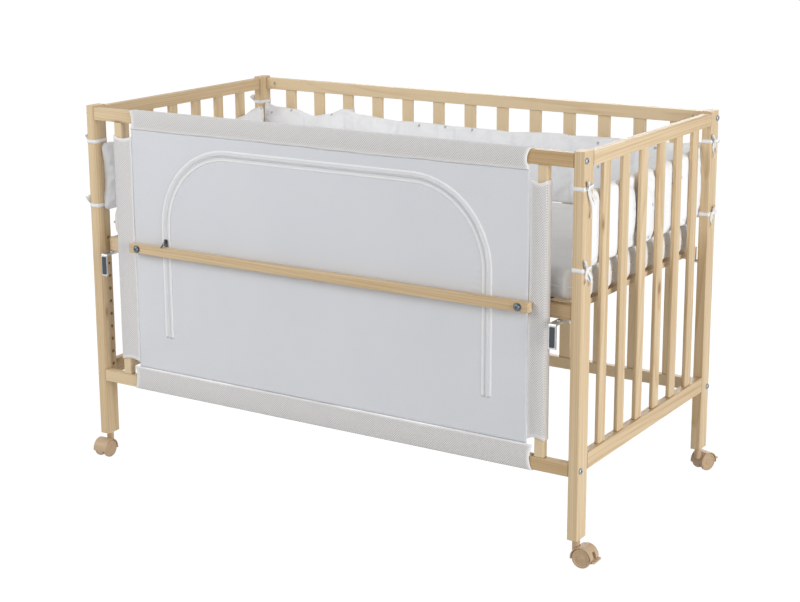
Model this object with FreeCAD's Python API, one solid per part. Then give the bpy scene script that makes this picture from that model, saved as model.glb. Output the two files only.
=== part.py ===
import FreeCAD, Part
import math
import os

# A bedside sleeper crib. Four solid wood posts carry slatted ends and a slatted back. The front,
# which stands against the parents' bed, is a rail frame dressed in a mesh cover with an arched zip.
# The slatted mattress base rests on four steel pins, at one of eleven heights, and two padded steel
# hooks reach out under it to the bed. The crib rolls on four twin-wheel casters.
#
# Millimetres. X runs along the crib, to the right as seen from the bed. Y points to the back.
# Z points up from the floor. The origin is on the floor, under the middle of the crib.

V = FreeCAD.Vector
X_AXIS = V(1, 0, 0)
Y_AXIS = V(0, 1, 0)
Z_AXIS = V(0, 0, 1)

# ---------------------------------------------------------------- driving dimensions

bed_length = 1250.0            # over the outer faces of the end posts, for a 1200 mattress
bed_width = 665.0              # over the front and back faces of the posts, for a 600 mattress
caster_height = 56.0           # from the floor to the underside of the posts
bed_height = 834.0             # to the top of the posts

touch = 0.3                    # gap between a soft piece and what it lies against
fit = 0.2                      # slack of a tenon, a dowel or a housed slat
running = 0.1                  # radial clearance of a stem or an axle that turns
easing = 1.5                   # radius on the arrises of the wood

post_thick = 22.0              # X
post_wide = 40.0               # Y
rail_thick = 18.0
top_rail_high = 28.0
top_rail_drop = 4.0            # the rails' top edge below the top of the posts
end_bottom_rail_high = 34.0
end_bottom_rail_z = 195.0      # lower edge
side_bottom_rail_high = 27.0
side_bottom_rail_z = 187.0
tenon_long = 10.0
tenon_shoulder = 4.0

slat_wide = 30.0
slat_thick = 10.0
slat_tenon = 8.0
slat_shoulder = 2.5
end_slat_count = 6
back_slat_count = 13

pin_hole_count = 11            # heights for the mattress base, up each post
pin_hole_low = 222.0
pin_hole_drop = 309.0          # the highest hole, from the top of the posts
pin_level = 9                  # the hole that carries the base, counted from zero at the lowest
pin_radius = 4.0
pin_depth = 12.0               # in the post
pin_reach = 18.0               # out of the post, under the base
pin_setback = 30.5             # from the post's front or back face to the pins

bolt_radius = 3.0
bolt_slack = 0.5               # radial, in wood
bolt_head_radius = 6.5
bolt_head_high = 3.5
bolt_socket_radius = 2.3
bolt_socket_deep = 2.0
bolt_past_nut = 4.0
nut_radius = 5.0
nut_long = 12.0
nut_from_end = 28.0            # barrel nut to the end of its rail
thread_slack = 0.1

upright_inset = 89.0             # middle of each upright of the front frame, from the crib's ends
upright_wide = 21.0
upright_thick = 18.0
upright_setback = 2.5          # behind the front faces of the rails
dowel_radius = 4.0
dowel_long = 30.0

cover_shift = 8.0              # the cover hangs a little to the right
sleeve_wall = 1.5
flap_thick = 2.2
top_sleeve_short = 34.0          # the sleeve of the top rail ends this far from the uprights' middles
top_sleeve_hang = 12.0           # its flap below the rail
bottom_sleeve_short = 21.0
bottom_sleeve_rise = 25.0        # its flap above the rail
side_sleeve_foot = 11.0          # from the bottom sleeve's flap to the side sleeves
side_sleeve_head = 18.0          # from the side sleeves to the top sleeve's flap
panel_thick = 1.0

zip_inset = 92.0                 # centre line of the arch's legs, from the side sleeves
zip_drop = 38.0                # centre line of its top, below the top sleeve
zip_radius = 176.0
zip_rise = 81.0                  # its low ends, above the bottom sleeve
tape_wide = 23.0
tape_thick = 0.8
coil_wide = 5.0
coil_thick = 1.2
slider_wide = 9.0
slider_high = 17.0
slider_plate = 1.5
crown_wide = 3.0
crown_high = 10.0
crown_deep = 3.6
crown_bore = 1.3
pull_long = 18.0
pull_wide = 5.0
pull_thick = 1.0
pull_ring = 0.9
pull_lean = 50.0               # degrees forward from plumb, with its tip on the cross bar

bar_short = 29.0                 # the cross bar's ends, from the uprights' middles
bar_shift = 12.0               # its middle, from the middle of the crib
bar_high = 20.0
bar_deep = 18.0
bar_above_base = 13.3          # its lower edge above that of the mattress base
bar_bolt_inset = 22.0
washer_radius = 8.5
washer_thick = 1.5

base_gap = 6.0                 # between the base and the posts, each end
base_rail_deep = 20.0
base_rail_high = 28.5
base_front_gap = 2.0           # between the base and the back of the front frame
base_corner = 10.0
base_slat_count = 12
base_slat_wide = 50.0
base_slat_thick = 12.0
base_slat_lap = 8.0

mattress_end_gap = 5.0           # from the mattress to the posts
mattress_side_gap = 12.0         # from the mattress to the uprights
mattress_thick = 72.0
mattress_crown = 3.0
mattress_corner = 20.0
mattress_edge = 16.0

bumper_thick = 28.0
bumper_high = 151.0
bumper_seam = 5.0              # thickness at a seam
bumper_hem = 7.0               # thickness along the top and bottom edges
bumper_hem_high = 18.0
bumper_end_gap = 2.0           # from the bumper's ends to the posts
back_channel = 159.0           # about one channel of the quilting, on the back pad
end_channel = 116.0            # and on the end pads
tie_rise = 15.0                # the bumper's top edge is drawn up to its ties
tie_reach = 110.0                # and falls back this far from them
ribbon_high = 9.0
ribbon_thick = 1.0
ribbon_rise = 0.2              # the lower ribbons above the bumper's lower edge
ribbon_tail = 60.0
knot_size = 9.0

bracket_x = 573.0
bracket_wide = 16.0
bracket_thick = 4.0
bracket_reach = 19.5           # from the posts' front face to the front of the hook
bracket_drop = 47.0            # from the underside of the arm to the end of the lip
bracket_under = 3.0            # the arm runs on past the base's front rail
pad_thick = 1.5
pad_wide = 11.0
pad_high = 41.0
pad_rise = 3.5                 # its lower edge, above the end of the lip
screw_radius = 2.5
screw_head_radius = 4.5
screw_head_high = 2.2
screw_long = 20.0
stop_screw_out = 14.0          # the second screw, in front of the base rail

stem_radius = 5.0
stem_above_axle = 11.5
stem_into_post = 32.0
socket_radius = 7.0
socket_flange_radius = 10.0
socket_flange = 2.0
wheel_radius = 20.5
wheel_wide = 9.3
wheel_round = 3.0
hub_radius = 6.0
dish_radius = 15.0
dish_deep = 1.2
axle_radius = 2.5
caster_trail = 18.5
hood_gap = 0.8                 # from the tread to the inside of the hood
hood_wall = 1.8
web_half = 7.2                 # half the web between the two wheels
wheel_gap = 0.8                # from the web to a wheel
boss_radius = 8.0
boss_above_axle = 9.5
web_low = 10.0
hood_low = 17.0
lever_half = 4.8
lever_gap = 0.4
lever_hub = 5.0
lever_up = 11.0                # degrees above level, with the brake off
lever_travel = 18.0
lever_thick = 3.2
pedal_out = 6.0
pedal_half = 17.0

# The way that each caster trails, in degrees from +X, and the angle of its brake lever, if it has
# one. The front right brake is on and the back right one is off.
casters = {
    "front_left": (-1, -1, -88.0, None),
    "front_right": (1, -1, 0.0, lever_up - lever_travel),
    "back_left": (-1, 1, -175.0, None),
    "back_right": (1, 1, 67.0, lever_up),
}

# ---------------------------------------------------------------- places worked out from them

half_length = bed_length / 2
half_width = bed_width / 2
inner_half = half_length - post_thick              # the posts' inner faces
top_rail_z = bed_height - top_rail_drop - top_rail_high
top_rail_top = bed_height - top_rail_drop
side_bottom_top = side_bottom_rail_z + side_bottom_rail_high
rail_mid = half_width - rail_thick / 2
post_mid_x = half_length - post_thick / 2
post_mid_y = half_width - post_wide / 2
post_inner_y = half_width - post_wide
pin_y = half_width - pin_setback
pin_hole_pitch = (bed_height - pin_hole_drop - pin_hole_low) / (pin_hole_count - 1)
pin_z = pin_hole_low + pin_level * pin_hole_pitch
base_z = pin_z + pin_radius
base_top = base_z + base_rail_high
base_half_x = inner_half - base_gap
upright_front = half_width - upright_setback
upright_back = upright_front - upright_thick
base_half_y = upright_back - base_front_gap
upright_x = half_length - upright_inset
slat_mid_x = half_length - rail_thick / 2          # the slats stand in the middle of the rails
slat_inner_y = rail_mid - slat_thick / 2
bolt_levels = (side_bottom_rail_z + side_bottom_rail_high / 2, top_rail_z + top_rail_high / 2)
panel_back = upright_front + sleeve_wall - touch
panel_front = panel_back + panel_thick
tape_front = panel_front + tape_thick
coil_front = tape_front + coil_thick
bar_back = coil_front + touch
bar_front = bar_back + bar_deep
bar_half = upright_x - bar_short
bar_bolt_half = bar_half - bar_bolt_inset
bar_z = base_z + bar_above_base
bar_mid_z = bar_z + bar_high / 2
top_sleeve_half = upright_x - top_sleeve_short
top_sleeve_low = top_rail_z - top_sleeve_hang
bottom_sleeve_half = upright_x - bottom_sleeve_short
bottom_sleeve_high = side_bottom_top + bottom_sleeve_rise
side_sleeve_low = bottom_sleeve_high + side_sleeve_foot
side_sleeve_high = top_sleeve_low - side_sleeve_head
zip_half = top_sleeve_half - zip_inset             # middle of the arch to the centre line of its legs
zip_top = top_sleeve_low - zip_drop
zip_low = bottom_sleeve_high + zip_rise
mattress_length = 2 * (inner_half - mattress_end_gap)
mattress_width = 2 * (upright_back - mattress_side_gap)

os.makedirs("parts", exist_ok=True)


def save(name, solids):
    """Writes one node, from one solid or several."""
    if not isinstance(solids, list):
        solids = [solids]
    Part.makeCompound(solids).exportStep("parts/" + name + ".step")


def block(x, y, z):
    """A block between two limits on each axis, given in either order."""
    x, y, z = sorted(x), sorted(y), sorted(z)
    return Part.makeBox(x[1] - x[0], y[1] - y[0], z[1] - z[0], V(x[0], y[0], z[0]))


def eased(shape, axis, radius=easing):
    """The shape with the straight edges that run along one axis rounded."""
    edges = [e for e in shape.Edges if e.Curve.TypeId == "Part::GeomLine"
             and abs(e.tangentAt(e.FirstParameter).dot(axis)) > 0.999]
    return shape.makeFillet(radius, edges)


def rod(radius, start, end):
    """A round bar or a drill from one point to another."""
    return Part.makeCylinder(radius, (end - start).Length, start, end - start)


def span(middle, size):
    """The limits of a size that is set about a middle."""
    return (middle - size / 2, middle + size / 2)


# ---------------------------------------------------------------- ends: posts, rails and slats

def post(side, face):
    """A corner post, with mortises for the end rails, bolt holes, pin holes and a caster bore."""
    inner_x = side * inner_half
    body = eased(block((inner_x, side * half_length),
                       (face * post_inner_y, face * half_width),
                       (caster_height, bed_height)), Z_AXIS)
    body = body.cut(end_tenon(side, face, end_bottom_rail_z, end_bottom_rail_high, fit))
    body = body.cut(end_tenon(side, face, top_rail_z, top_rail_high, fit))
    for z in bolt_levels:
        body = body.cut(rod(bolt_radius + bolt_slack, V(side * (inner_half - 1), face * rail_mid, z),
                            V(side * (half_length + 1), face * rail_mid, z)))
    for level in range(pin_hole_count):
        z = pin_hole_low + level * pin_hole_pitch
        body = body.cut(rod(pin_radius, V(side * (inner_half - 1), face * pin_y, z),
                            V(side * (inner_half + pin_depth), face * pin_y, z)))
    bore_top = caster_height + stem_into_post + socket_flange
    return body.cut(rod(socket_radius, V(side * post_mid_x, face * post_mid_y, caster_height - 1),
                        V(side * post_mid_x, face * post_mid_y, bore_top)))


def end_tenon(side, face, z, high, slack=0.0):
    """The tenon of an end rail in a post, or with slack the mortise that takes it."""
    x = span(side * slat_mid_x, rail_thick - 2 * tenon_shoulder + 2 * slack)
    y = (face * (post_inner_y - 1), face * (post_inner_y + tenon_long + slack))
    return block(x, y, (z + tenon_shoulder - slack, z + high - tenon_shoulder + slack))


def end_rail(side, z, high, slats_above):
    """A rail of one end, with its tenons and the mortises of its slats."""
    body = eased(block((side * (half_length - rail_thick), side * half_length),
                       (-post_inner_y, post_inner_y), (z, z + high)), Y_AXIS)
    for face in (-1, 1):
        body = body.fuse(end_tenon(side, face, z, high))
    edge, way = (z + high, -1) if slats_above else (z, 1)
    for y in slat_places(post_inner_y, end_slat_count):
        body = body.cut(slat_tongue(side * slat_mid_x, y, edge, way, False, fit))
    return body.removeSplitter()


def slat_places(half, count):
    """Middles of slats set with equal gaps between two posts."""
    gap = (2 * half - count * slat_wide) / (count + 1)
    return [-half + (i + 1) * gap + (i + 0.5) * slat_wide for i in range(count)]


def slat_tongue(x, y, edge, way, along_x, slack=0.0):
    """The tongue on a slat's end, which stands in a rail. It runs from the rail's edge."""
    wide = slat_wide - 2 * slat_shoulder + 2 * slack
    thick = slat_thick - 2 * slat_shoulder + 2 * slack
    size_x, size_y = (wide, thick) if along_x else (thick, wide)
    return block(span(x, size_x), span(y, size_y), (edge - way * 1, edge + way * (slat_tenon + slack)))


def slat(x, y, low, high, along_x):
    """One slat between two rails, its long arrises rounded, with a tongue at each end."""
    size_x, size_y = (slat_wide, slat_thick) if along_x else (slat_thick, slat_wide)
    body = eased(block(span(x, size_x), span(y, size_y), (low, high)), Z_AXIS, 2 * easing)
    body = body.fuse(slat_tongue(x, y, low, -1, along_x))
    return body.fuse(slat_tongue(x, y, high, 1, along_x)).removeSplitter()


for side, side_name in ((-1, "left"), (1, "right")):
    for face, face_name in ((-1, "front"), (1, "back")):
        save("post_" + face_name + "_" + side_name, post(side, face))
    save("end_slats_" + side_name,
         [slat(side * slat_mid_x, y, end_bottom_rail_z + end_bottom_rail_high, top_rail_z, False)
          for y in slat_places(post_inner_y, end_slat_count)])
save("end_top_rails", [end_rail(s, top_rail_z, top_rail_high, False) for s in (-1, 1)])
save("end_bottom_rails", [end_rail(s, end_bottom_rail_z, end_bottom_rail_high, True) for s in (-1, 1)])


# ---------------------------------------------------------------- back and front: long rails

def long_rail(face, z, high):
    """A rail between two posts, drilled at both ends for its bolt and barrel nut."""
    mid_z = z + high / 2
    inner_y = half_width - rail_thick
    body = eased(block((-inner_half, inner_half), (face * inner_y, face * half_width),
                       (z, z + high)), X_AXIS)
    for side in (-1, 1):
        nut_x = side * (inner_half - nut_from_end)
        past = side * (inner_half - nut_from_end - bolt_past_nut - 2)
        body = body.cut(rod(bolt_radius + bolt_slack, V(side * (inner_half + 1), face * rail_mid, mid_z),
                            V(past, face * rail_mid, mid_z)))
        body = body.cut(rod(nut_radius + fit, V(nut_x, face * (inner_y - 1), mid_z),
                            V(nut_x, face * (rail_mid + nut_long / 2 + fit), mid_z)))
    return body


back_top_rail = long_rail(1, top_rail_z, top_rail_high)
back_bottom_rail = long_rail(1, side_bottom_rail_z, side_bottom_rail_high)
for x in slat_places(inner_half, back_slat_count):
    back_top_rail = back_top_rail.cut(slat_tongue(x, rail_mid, top_rail_z, 1, True, fit))
    back_bottom_rail = back_bottom_rail.cut(slat_tongue(x, rail_mid, side_bottom_top, -1, True, fit))
save("back_top_rail", back_top_rail)
save("back_bottom_rail", back_bottom_rail)
save("back_slats", [slat(x, rail_mid, side_bottom_top, top_rail_z, True)
                    for x in slat_places(inner_half, back_slat_count)])

front_top_rail = long_rail(-1, top_rail_z, top_rail_high)
front_bottom_rail = long_rail(-1, side_bottom_rail_z, side_bottom_rail_high)
upright_mid_y = -(upright_front - upright_thick / 2)
uprights = []
dowels = []
for side in (-1, 1):
    x = side * upright_x
    upright = eased(block(span(x, upright_wide), span(upright_mid_y, upright_thick),
                          (side_bottom_top, top_rail_z)), Z_AXIS, 2 * easing)
    for z in (side_bottom_top, top_rail_z):
        low, high = span(z, dowel_long)
        dowels.append(rod(dowel_radius, V(x, upright_mid_y, low), V(x, upright_mid_y, high)))
        hole = rod(dowel_radius + fit, V(x, upright_mid_y, low - fit), V(x, upright_mid_y, high + fit))
        upright = upright.cut(hole)
        front_top_rail = front_top_rail.cut(hole)
        front_bottom_rail = front_bottom_rail.cut(hole)
    uprights.append(upright)
save("front_top_rail", front_top_rail)
save("front_bottom_rail", front_bottom_rail)
save("front_uprights", uprights)
save("front_dowels", dowels)


def knock_down_bolt(side, face, z):
    """A round-headed socket bolt through a post, into the barrel nut of a long rail."""
    y = face * rail_mid
    outer = side * half_length
    nut_x = inner_half - nut_from_end
    shank = rod(bolt_radius, V(outer, y, z), V(side * (nut_x - bolt_past_nut), y, z))
    head = rod(bolt_head_radius, V(outer, y, z), V(outer + side * bolt_head_high, y, z))
    rim = [e for e in head.Edges if e.Curve.TypeId == "Part::GeomCircle"
           and abs(e.CenterOfMass.x) > half_length + bolt_head_high / 2]
    head = head.makeFillet(bolt_head_high * 0.7, rim)
    socket = rod(bolt_socket_radius, V(outer + side * (bolt_head_high - bolt_socket_deep), y, z),
                 V(outer + side * (bolt_head_high + 1), y, z))
    return head.fuse(shank).cut(socket)


def barrel_nut(side, face, z):
    """The cross dowel that a bolt screws into."""
    x = side * (inner_half - nut_from_end)
    low, high = span(face * rail_mid, nut_long)
    nut = rod(nut_radius, V(x, low, z), V(x, high, z))
    return nut.cut(rod(bolt_radius + thread_slack, V(x - 2 * nut_radius, face * rail_mid, z),
                       V(x + 2 * nut_radius, face * rail_mid, z)))


corners = [(side, face, z) for side in (-1, 1) for face in (-1, 1) for z in bolt_levels]
save("frame_bolts", [knock_down_bolt(*corner) for corner in corners])
save("barrel_nuts", [barrel_nut(*corner) for corner in corners])


# ---------------------------------------------------------------- mattress base

base_front_rail = block((-base_half_x, base_half_x), (-base_half_y, -base_half_y + base_rail_deep),
                        (base_z, base_top))
outer_corners = [e for e in base_front_rail.Edges if abs(e.CenterOfMass.z - (base_z + base_top) / 2) < 1
                 and e.CenterOfMass.y < -base_half_y + 1]
base_front_rail = base_front_rail.makeFillet(base_corner, outer_corners)
base_back_rail = base_front_rail.mirror(V(0, 0, 0), Y_AXIS)


def base_end_tenon(side, face, slack=0.0):
    """The tenon of the base's end rail in its side rail."""
    x = span(side * (base_half_x - base_rail_deep / 2), base_rail_deep - 3 * tenon_shoulder + 2 * slack)
    inner = base_half_y - base_rail_deep
    return block(x, (face * (inner - 1), face * (inner + tenon_long + slack)),
                 (base_top - base_slat_thick + slat_shoulder - slack, base_top - slat_shoulder + slack))


base_end_rails = []
for side in (-1, 1):
    inner = base_half_y - base_rail_deep
    rail = block((side * (base_half_x - base_rail_deep), side * base_half_x), (-inner, inner),
                 (base_top - base_slat_thick, base_top))
    rail = eased(rail, Y_AXIS)
    for face in (-1, 1):
        rail = rail.fuse(base_end_tenon(side, face))
    base_end_rails.append(rail.removeSplitter())
    base_front_rail = base_front_rail.cut(base_end_tenon(side, -1, fit))
    base_back_rail = base_back_rail.cut(base_end_tenon(side, 1, fit))

base_slats = []
slat_half_y = base_half_y - base_rail_deep + base_slat_lap
free = 2 * (base_half_x - base_rail_deep) - base_slat_count * base_slat_wide
base_slat_gap = free / (base_slat_count + 1)
for i in range(base_slat_count):
    x = -base_half_x + base_rail_deep + (i + 1) * base_slat_gap + (i + 0.5) * base_slat_wide
    base_slats.append(block(span(x, base_slat_wide), (-slat_half_y, slat_half_y),
                            (base_top - base_slat_thick, base_top)))
    rebate = block(span(x, base_slat_wide + 2 * fit), (-slat_half_y - fit, slat_half_y + fit),
                   (base_top - base_slat_thick, base_top + 1))
    base_front_rail = base_front_rail.cut(rebate)
    base_back_rail = base_back_rail.cut(rebate)

bar_bolts_x = [bar_shift - bar_bolt_half, bar_shift + bar_bolt_half]
bar_bolt_tip = -slat_half_y - 2 * fit                  # short of the slats' housings
for x in bar_bolts_x:
    base_front_rail = base_front_rail.cut(
        rod(bolt_radius + thread_slack, V(x, -base_half_y - 1, bar_mid_z), V(x, bar_bolt_tip, bar_mid_z)))
bracket_screw_y = -base_half_y + base_rail_deep / 2
for side in (-1, 1):
    base_front_rail = base_front_rail.cut(
        rod(screw_radius + thread_slack, V(side * bracket_x, bracket_screw_y, base_z - 1),
            V(side * bracket_x, bracket_screw_y, base_z + screw_long)))
save("base_front_rail", base_front_rail)
save("base_back_rail", base_back_rail)
save("base_end_rails", base_end_rails)
save("base_slats", base_slats)
save("base_pins", [rod(pin_radius, V(side * (inner_half - pin_reach), face * pin_y, pin_z),
                       V(side * (inner_half + pin_depth), face * pin_y, pin_z))
                   for side in (-1, 1) for face in (-1, 1)])


# ---------------------------------------------------------------- hooks for the parents' bed

def bed_bracket(side):
    """A strip of steel under the base rail, bent down at its front end to hook over the bed."""
    x = span(side * bracket_x, bracket_wide)
    front = -half_width - bracket_reach
    back = -base_half_y + base_rail_deep + bracket_under
    arm = block(x, (front, back), (base_z - bracket_thick, base_z))
    lip = block(x, (front, front + bracket_thick), (base_z - bracket_thick - bracket_drop, base_z))
    hook = arm.fuse(lip).removeSplitter()
    bend = [e for e in hook.Edges if abs(e.tangentAt(e.FirstParameter).x) > 0.999
            and abs(e.CenterOfMass.y - front) < 0.1 and abs(e.CenterOfMass.z - base_z) < 0.1]
    hook = hook.makeFillet(bracket_thick * 0.95, bend)
    for y in bracket_screws_y:
        hook = hook.cut(rod(screw_radius + thread_slack, V(side * bracket_x, y, base_z + 1),
                            V(side * bracket_x, y, base_z - bracket_thick - 1)))
    return hook.cut(screw_cone(side * bracket_x, thread_slack))


def screw_cone(x, slack=0.0):
    """The sunk head of a screw from below, or with slack the sink that takes it."""
    return Part.makeCone(screw_head_radius + slack, screw_radius + slack, screw_head_radius - screw_radius,
                         V(x, bracket_screw_y, base_z - bracket_thick))


def pan_screw(x, y, seat, way, long):
    """A screw whose head lies on a seat. Its shank points up for way 1 and down for way -1."""
    head = rod(screw_head_radius, V(x, y, seat), V(x, y, seat - way * screw_head_high))
    rim = [e for e in head.Edges if e.Curve.TypeId == "Part::GeomCircle"
           and abs(e.CenterOfMass.z - seat) > screw_head_high / 2]
    head = head.makeFillet(screw_head_high * 0.6, rim)
    return head.fuse(rod(screw_radius, V(x, y, seat), V(x, y, seat + way * long)))


def bracket_pad(side, back):
    """A rubber pad glued to one face of the lip. Its own back face is at the given depth."""
    low = base_z - bracket_thick - bracket_drop + pad_rise
    pad = block(span(side * bracket_x, pad_wide), (back - pad_thick, back), (low, low + pad_high))
    return eased(pad, Y_AXIS, pad_thick)


stop_screw_y = -base_half_y - stop_screw_out
bracket_screws_y = (bracket_screw_y, stop_screw_y)
save("bed_brackets", [bed_bracket(-1), bed_bracket(1)])
lip_front = -half_width - bracket_reach
save("bracket_pads", [bracket_pad(side, back) for side in (-1, 1)
                      for back in (lip_front, lip_front + bracket_thick + pad_thick)])
bracket_screws = []
for side in (-1, 1):
    x = side * bracket_x
    seat = base_z - bracket_thick
    bracket_screws.append(screw_cone(x).fuse(rod(screw_radius, V(x, bracket_screw_y, seat),
                                                 V(x, bracket_screw_y, seat + screw_long))).removeSplitter())
    bracket_screws.append(pan_screw(x, stop_screw_y, base_z, -1, bracket_thick - touch))
save("bracket_screws", bracket_screws)


# ---------------------------------------------------------------- mattress and bumper

def rounded_outline(half_x, half_y, corner, z):
    """A rectangle with round corners, as one wire."""
    points = []
    for start, (cx, cy) in zip((0, 90, 180, 270), ((1, 1), (-1, 1), (-1, -1), (1, -1))):
        middle = V(cx * (half_x - corner), cy * (half_y - corner), z)
        points.append([middle + corner * V(math.cos(math.radians(start + turn)),
                                           math.sin(math.radians(start + turn)), 0)
                       for turn in (0, 45, 90)])
    edges = []
    for i, arc in enumerate(points):
        edges.append(Part.Arc(*arc).toShape())
        edges.append(Part.LineSegment(arc[2], points[(i + 1) % 4][0]).toShape())
    return Part.Wire(edges)


mattress_z = base_top + touch
mattress_steps = ((0.0, 1.0), (0.12, 0.35), (0.3, 0.0), (0.7, 0.0), (0.88, 0.35), (1.0, 1.0))
mattress_wires = [rounded_outline(mattress_length / 2 - inset * mattress_edge,
                                  mattress_width / 2 - inset * mattress_edge,
                                  mattress_corner - inset * mattress_edge,
                                  mattress_z + share * mattress_thick)
                  for share, inset in mattress_steps]
crown_inset = 6 * mattress_edge
mattress_wires.append(rounded_outline(mattress_length / 2 - crown_inset, mattress_width / 2 - crown_inset,
                                      mattress_corner, mattress_z + mattress_thick + mattress_crown))
save("mattress", Part.makeLoft(mattress_wires, True, True))

bumper_z = mattress_z + mattress_thick + touch
ribbon_levels = (bumper_z + ribbon_rise, bumper_z + bumper_high + tie_rise)


def bumper_section(run, bulge, rise, across, along_x):
    """The outline across a pad: full in a channel, where the bulge is 1, and flat at a seam."""
    hem = bumper_seam + bulge * (bumper_hem - bumper_seam)
    thick = bumper_seam + bulge * (bumper_thick - bumper_seam)
    full = bumper_seam + bulge * (0.85 * bumper_thick - bumper_seam)
    high = bumper_high + rise
    side = [(hem, 0), (full, bumper_hem_high), (thick, high / 2), (full, high - bumper_hem_high), (hem, high)]
    outline = [(-wide / 2, z) for wide, z in side] + [(wide / 2, z) for wide, z in reversed(side)]
    points = [V(run, across + out, bumper_z + z) if along_x else V(across + out, run, bumper_z + z)
              for out, z in outline]
    return Part.makePolygon(points + points[:1])


def bumper(tied, channel, across, along_x, first_bulge=0.0):
    """A quilted pad between its first and last tie, with a seam under each tie.

    Its first end is a seam too, or with a bulge it is open and stays thick up to its hem."""
    sections = []
    for start, end in zip(tied, tied[1:]):
        channels = max(1, round((end - start) / channel))
        step = (end - start) / channels
        for i in range(channels):
            for share, bulge in ((0, 0), (0.15, 0.7), (0.5, 1), (0.85, 0.7)):
                run = start + (i + share) * step
                if run == tied[0]:
                    bulge = first_bulge
                near = min(abs(run - tie) for tie in tied)
                rise = tie_rise * max(0, 1 - near / tie_reach) ** 2
                sections.append(bumper_section(run, bulge, rise, across, along_x))
    sections.append(bumper_section(tied[-1], 0, tie_rise, across, along_x))
    return Part.makeLoft(sections, True, True)


third_slat = slat_places(inner_half, back_slat_count)[2]
bumper_half_x = inner_half - bumper_end_gap
bumper_half_y = post_inner_y - bumper_end_gap
end_bumper_x = slat_mid_x - slat_thick / 2 - touch - bumper_thick / 2
back_bumper_y = slat_inner_y - touch - bumper_thick / 2
for side, name in ((-1, "bumper_left"), (1, "bumper_right")):
    save(name, bumper((-bumper_half_y, bumper_half_y), end_channel, side * end_bumper_x, False, 0.6))
save("bumper_back", bumper((-bumper_half_x, third_slat, bumper_half_x), back_channel, back_bumper_y, True))


def ribbon_loop(x, y, z):
    """A ribbon tied round a post or a slat, whose limits are x and y."""
    low_x, high_x = sorted(x)
    low_y, high_y = sorted(y)
    outer = touch + ribbon_thick
    loop = block((low_x - outer, high_x + outer), (low_y - outer, high_y + outer), (z, z + ribbon_high))
    return loop.cut(block((low_x - touch, high_x + touch), (low_y - touch, high_y + touch),
                          (z - 1, z + ribbon_high + 1)))


def tied_bow(side, y, z):
    """The knot on the outer face of a post, with its two tails hanging."""
    face_x = half_length + touch + ribbon_thick
    knot = block((side * (face_x - ribbon_thick / 2), side * (face_x + knot_size / 3)),
                 span(y, knot_size), (z, z + ribbon_high))
    for way in (-1, 1):
        tail = block((side * (face_x - ribbon_thick / 2), side * (face_x + ribbon_thick)),
                     (y + way * knot_size / 4, y + way * (knot_size / 4 + ribbon_high)),
                     (z + ribbon_high - ribbon_tail, z + ribbon_high))
        knot = knot.fuse(tail)
    return knot.removeSplitter()


ties = []
for side in (-1, 1):
    for face in (-1, 1):
        for z in ribbon_levels:
            loop = ribbon_loop((side * inner_half, side * half_length),
                               (face * post_inner_y, face * half_width), z)
            ties.append(loop.fuse(tied_bow(side, face * post_mid_y, z)).removeSplitter())
for z in ribbon_levels:
    loop = ribbon_loop(span(third_slat, slat_wide), span(rail_mid, slat_thick), z)
    strap = block(span(third_slat, ribbon_thick),
                  (back_bumper_y + bumper_seam / 2 + 2 * touch, slat_inner_y - touch), (z, z + ribbon_high))
    ties.append(loop.fuse(strap).removeSplitter())
save("bumper_ties", ties)


# ---------------------------------------------------------------- mesh cover of the front

def wrapped(inner_a, inner_b, flap_a, flap_b, length_limits, along):
    """A sleeve round a bar, sewn shut to a flat flap. Its section is given in two limits."""
    def solid(a, b):
        return block(length_limits, a, b) if along == "x" else block(a, b, length_limits)
    slack_a = (inner_a[0] - touch, inner_a[1] + touch)
    slack_b = (inner_b[0] - touch, inner_b[1] + touch)
    outer = solid((slack_a[0] - sleeve_wall, slack_a[1] + sleeve_wall),
                  (slack_b[0] - sleeve_wall, slack_b[1] + sleeve_wall))
    outer = eased(outer, X_AXIS if along == "x" else Z_AXIS, sleeve_wall)
    return outer.fuse(solid(flap_a, flap_b)).cut(solid(slack_a, slack_b)).removeSplitter()


rail_y = (-half_width, -half_width + rail_thick)
flap_y = (-panel_front, -panel_front + flap_thick)
top_sleeve = wrapped(rail_y, (top_rail_z, top_rail_top), flap_y, (top_sleeve_low, top_rail_z),
                     (cover_shift - top_sleeve_half, cover_shift + top_sleeve_half), "x")
bottom_sleeve = wrapped(rail_y, (side_bottom_rail_z, side_bottom_top), flap_y,
                        (side_bottom_top, bottom_sleeve_high),
                        (cover_shift - bottom_sleeve_half, cover_shift + bottom_sleeve_half), "x")
save("cover_sleeve_top", top_sleeve)
save("cover_sleeve_bottom", bottom_sleeve)
upright_y = (-upright_front, -upright_front + upright_thick)
for side, name in ((-1, "left"), (1, "right")):
    upright_limits = sorted((side * (upright_x - upright_wide / 2), side * (upright_x + upright_wide / 2)))
    flap_x = sorted((cover_shift + side * top_sleeve_half, side * (upright_x - upright_wide / 2 - touch)))
    save("cover_sleeve_" + name,
         wrapped(upright_limits, upright_y, flap_x, flap_y, (side_sleeve_low, side_sleeve_high), "z"))

mesh_panel = block((cover_shift - top_sleeve_half, cover_shift + top_sleeve_half), (-panel_front, -panel_back),
                   (bottom_sleeve_high, top_sleeve_low))
for x in bar_bolts_x:
    mesh_panel = mesh_panel.cut(rod(bolt_radius + bolt_slack, V(x, -panel_front - 1, bar_mid_z),
                                    V(x, -panel_back + 1, bar_mid_z)))
save("mesh_panel", mesh_panel)


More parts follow.
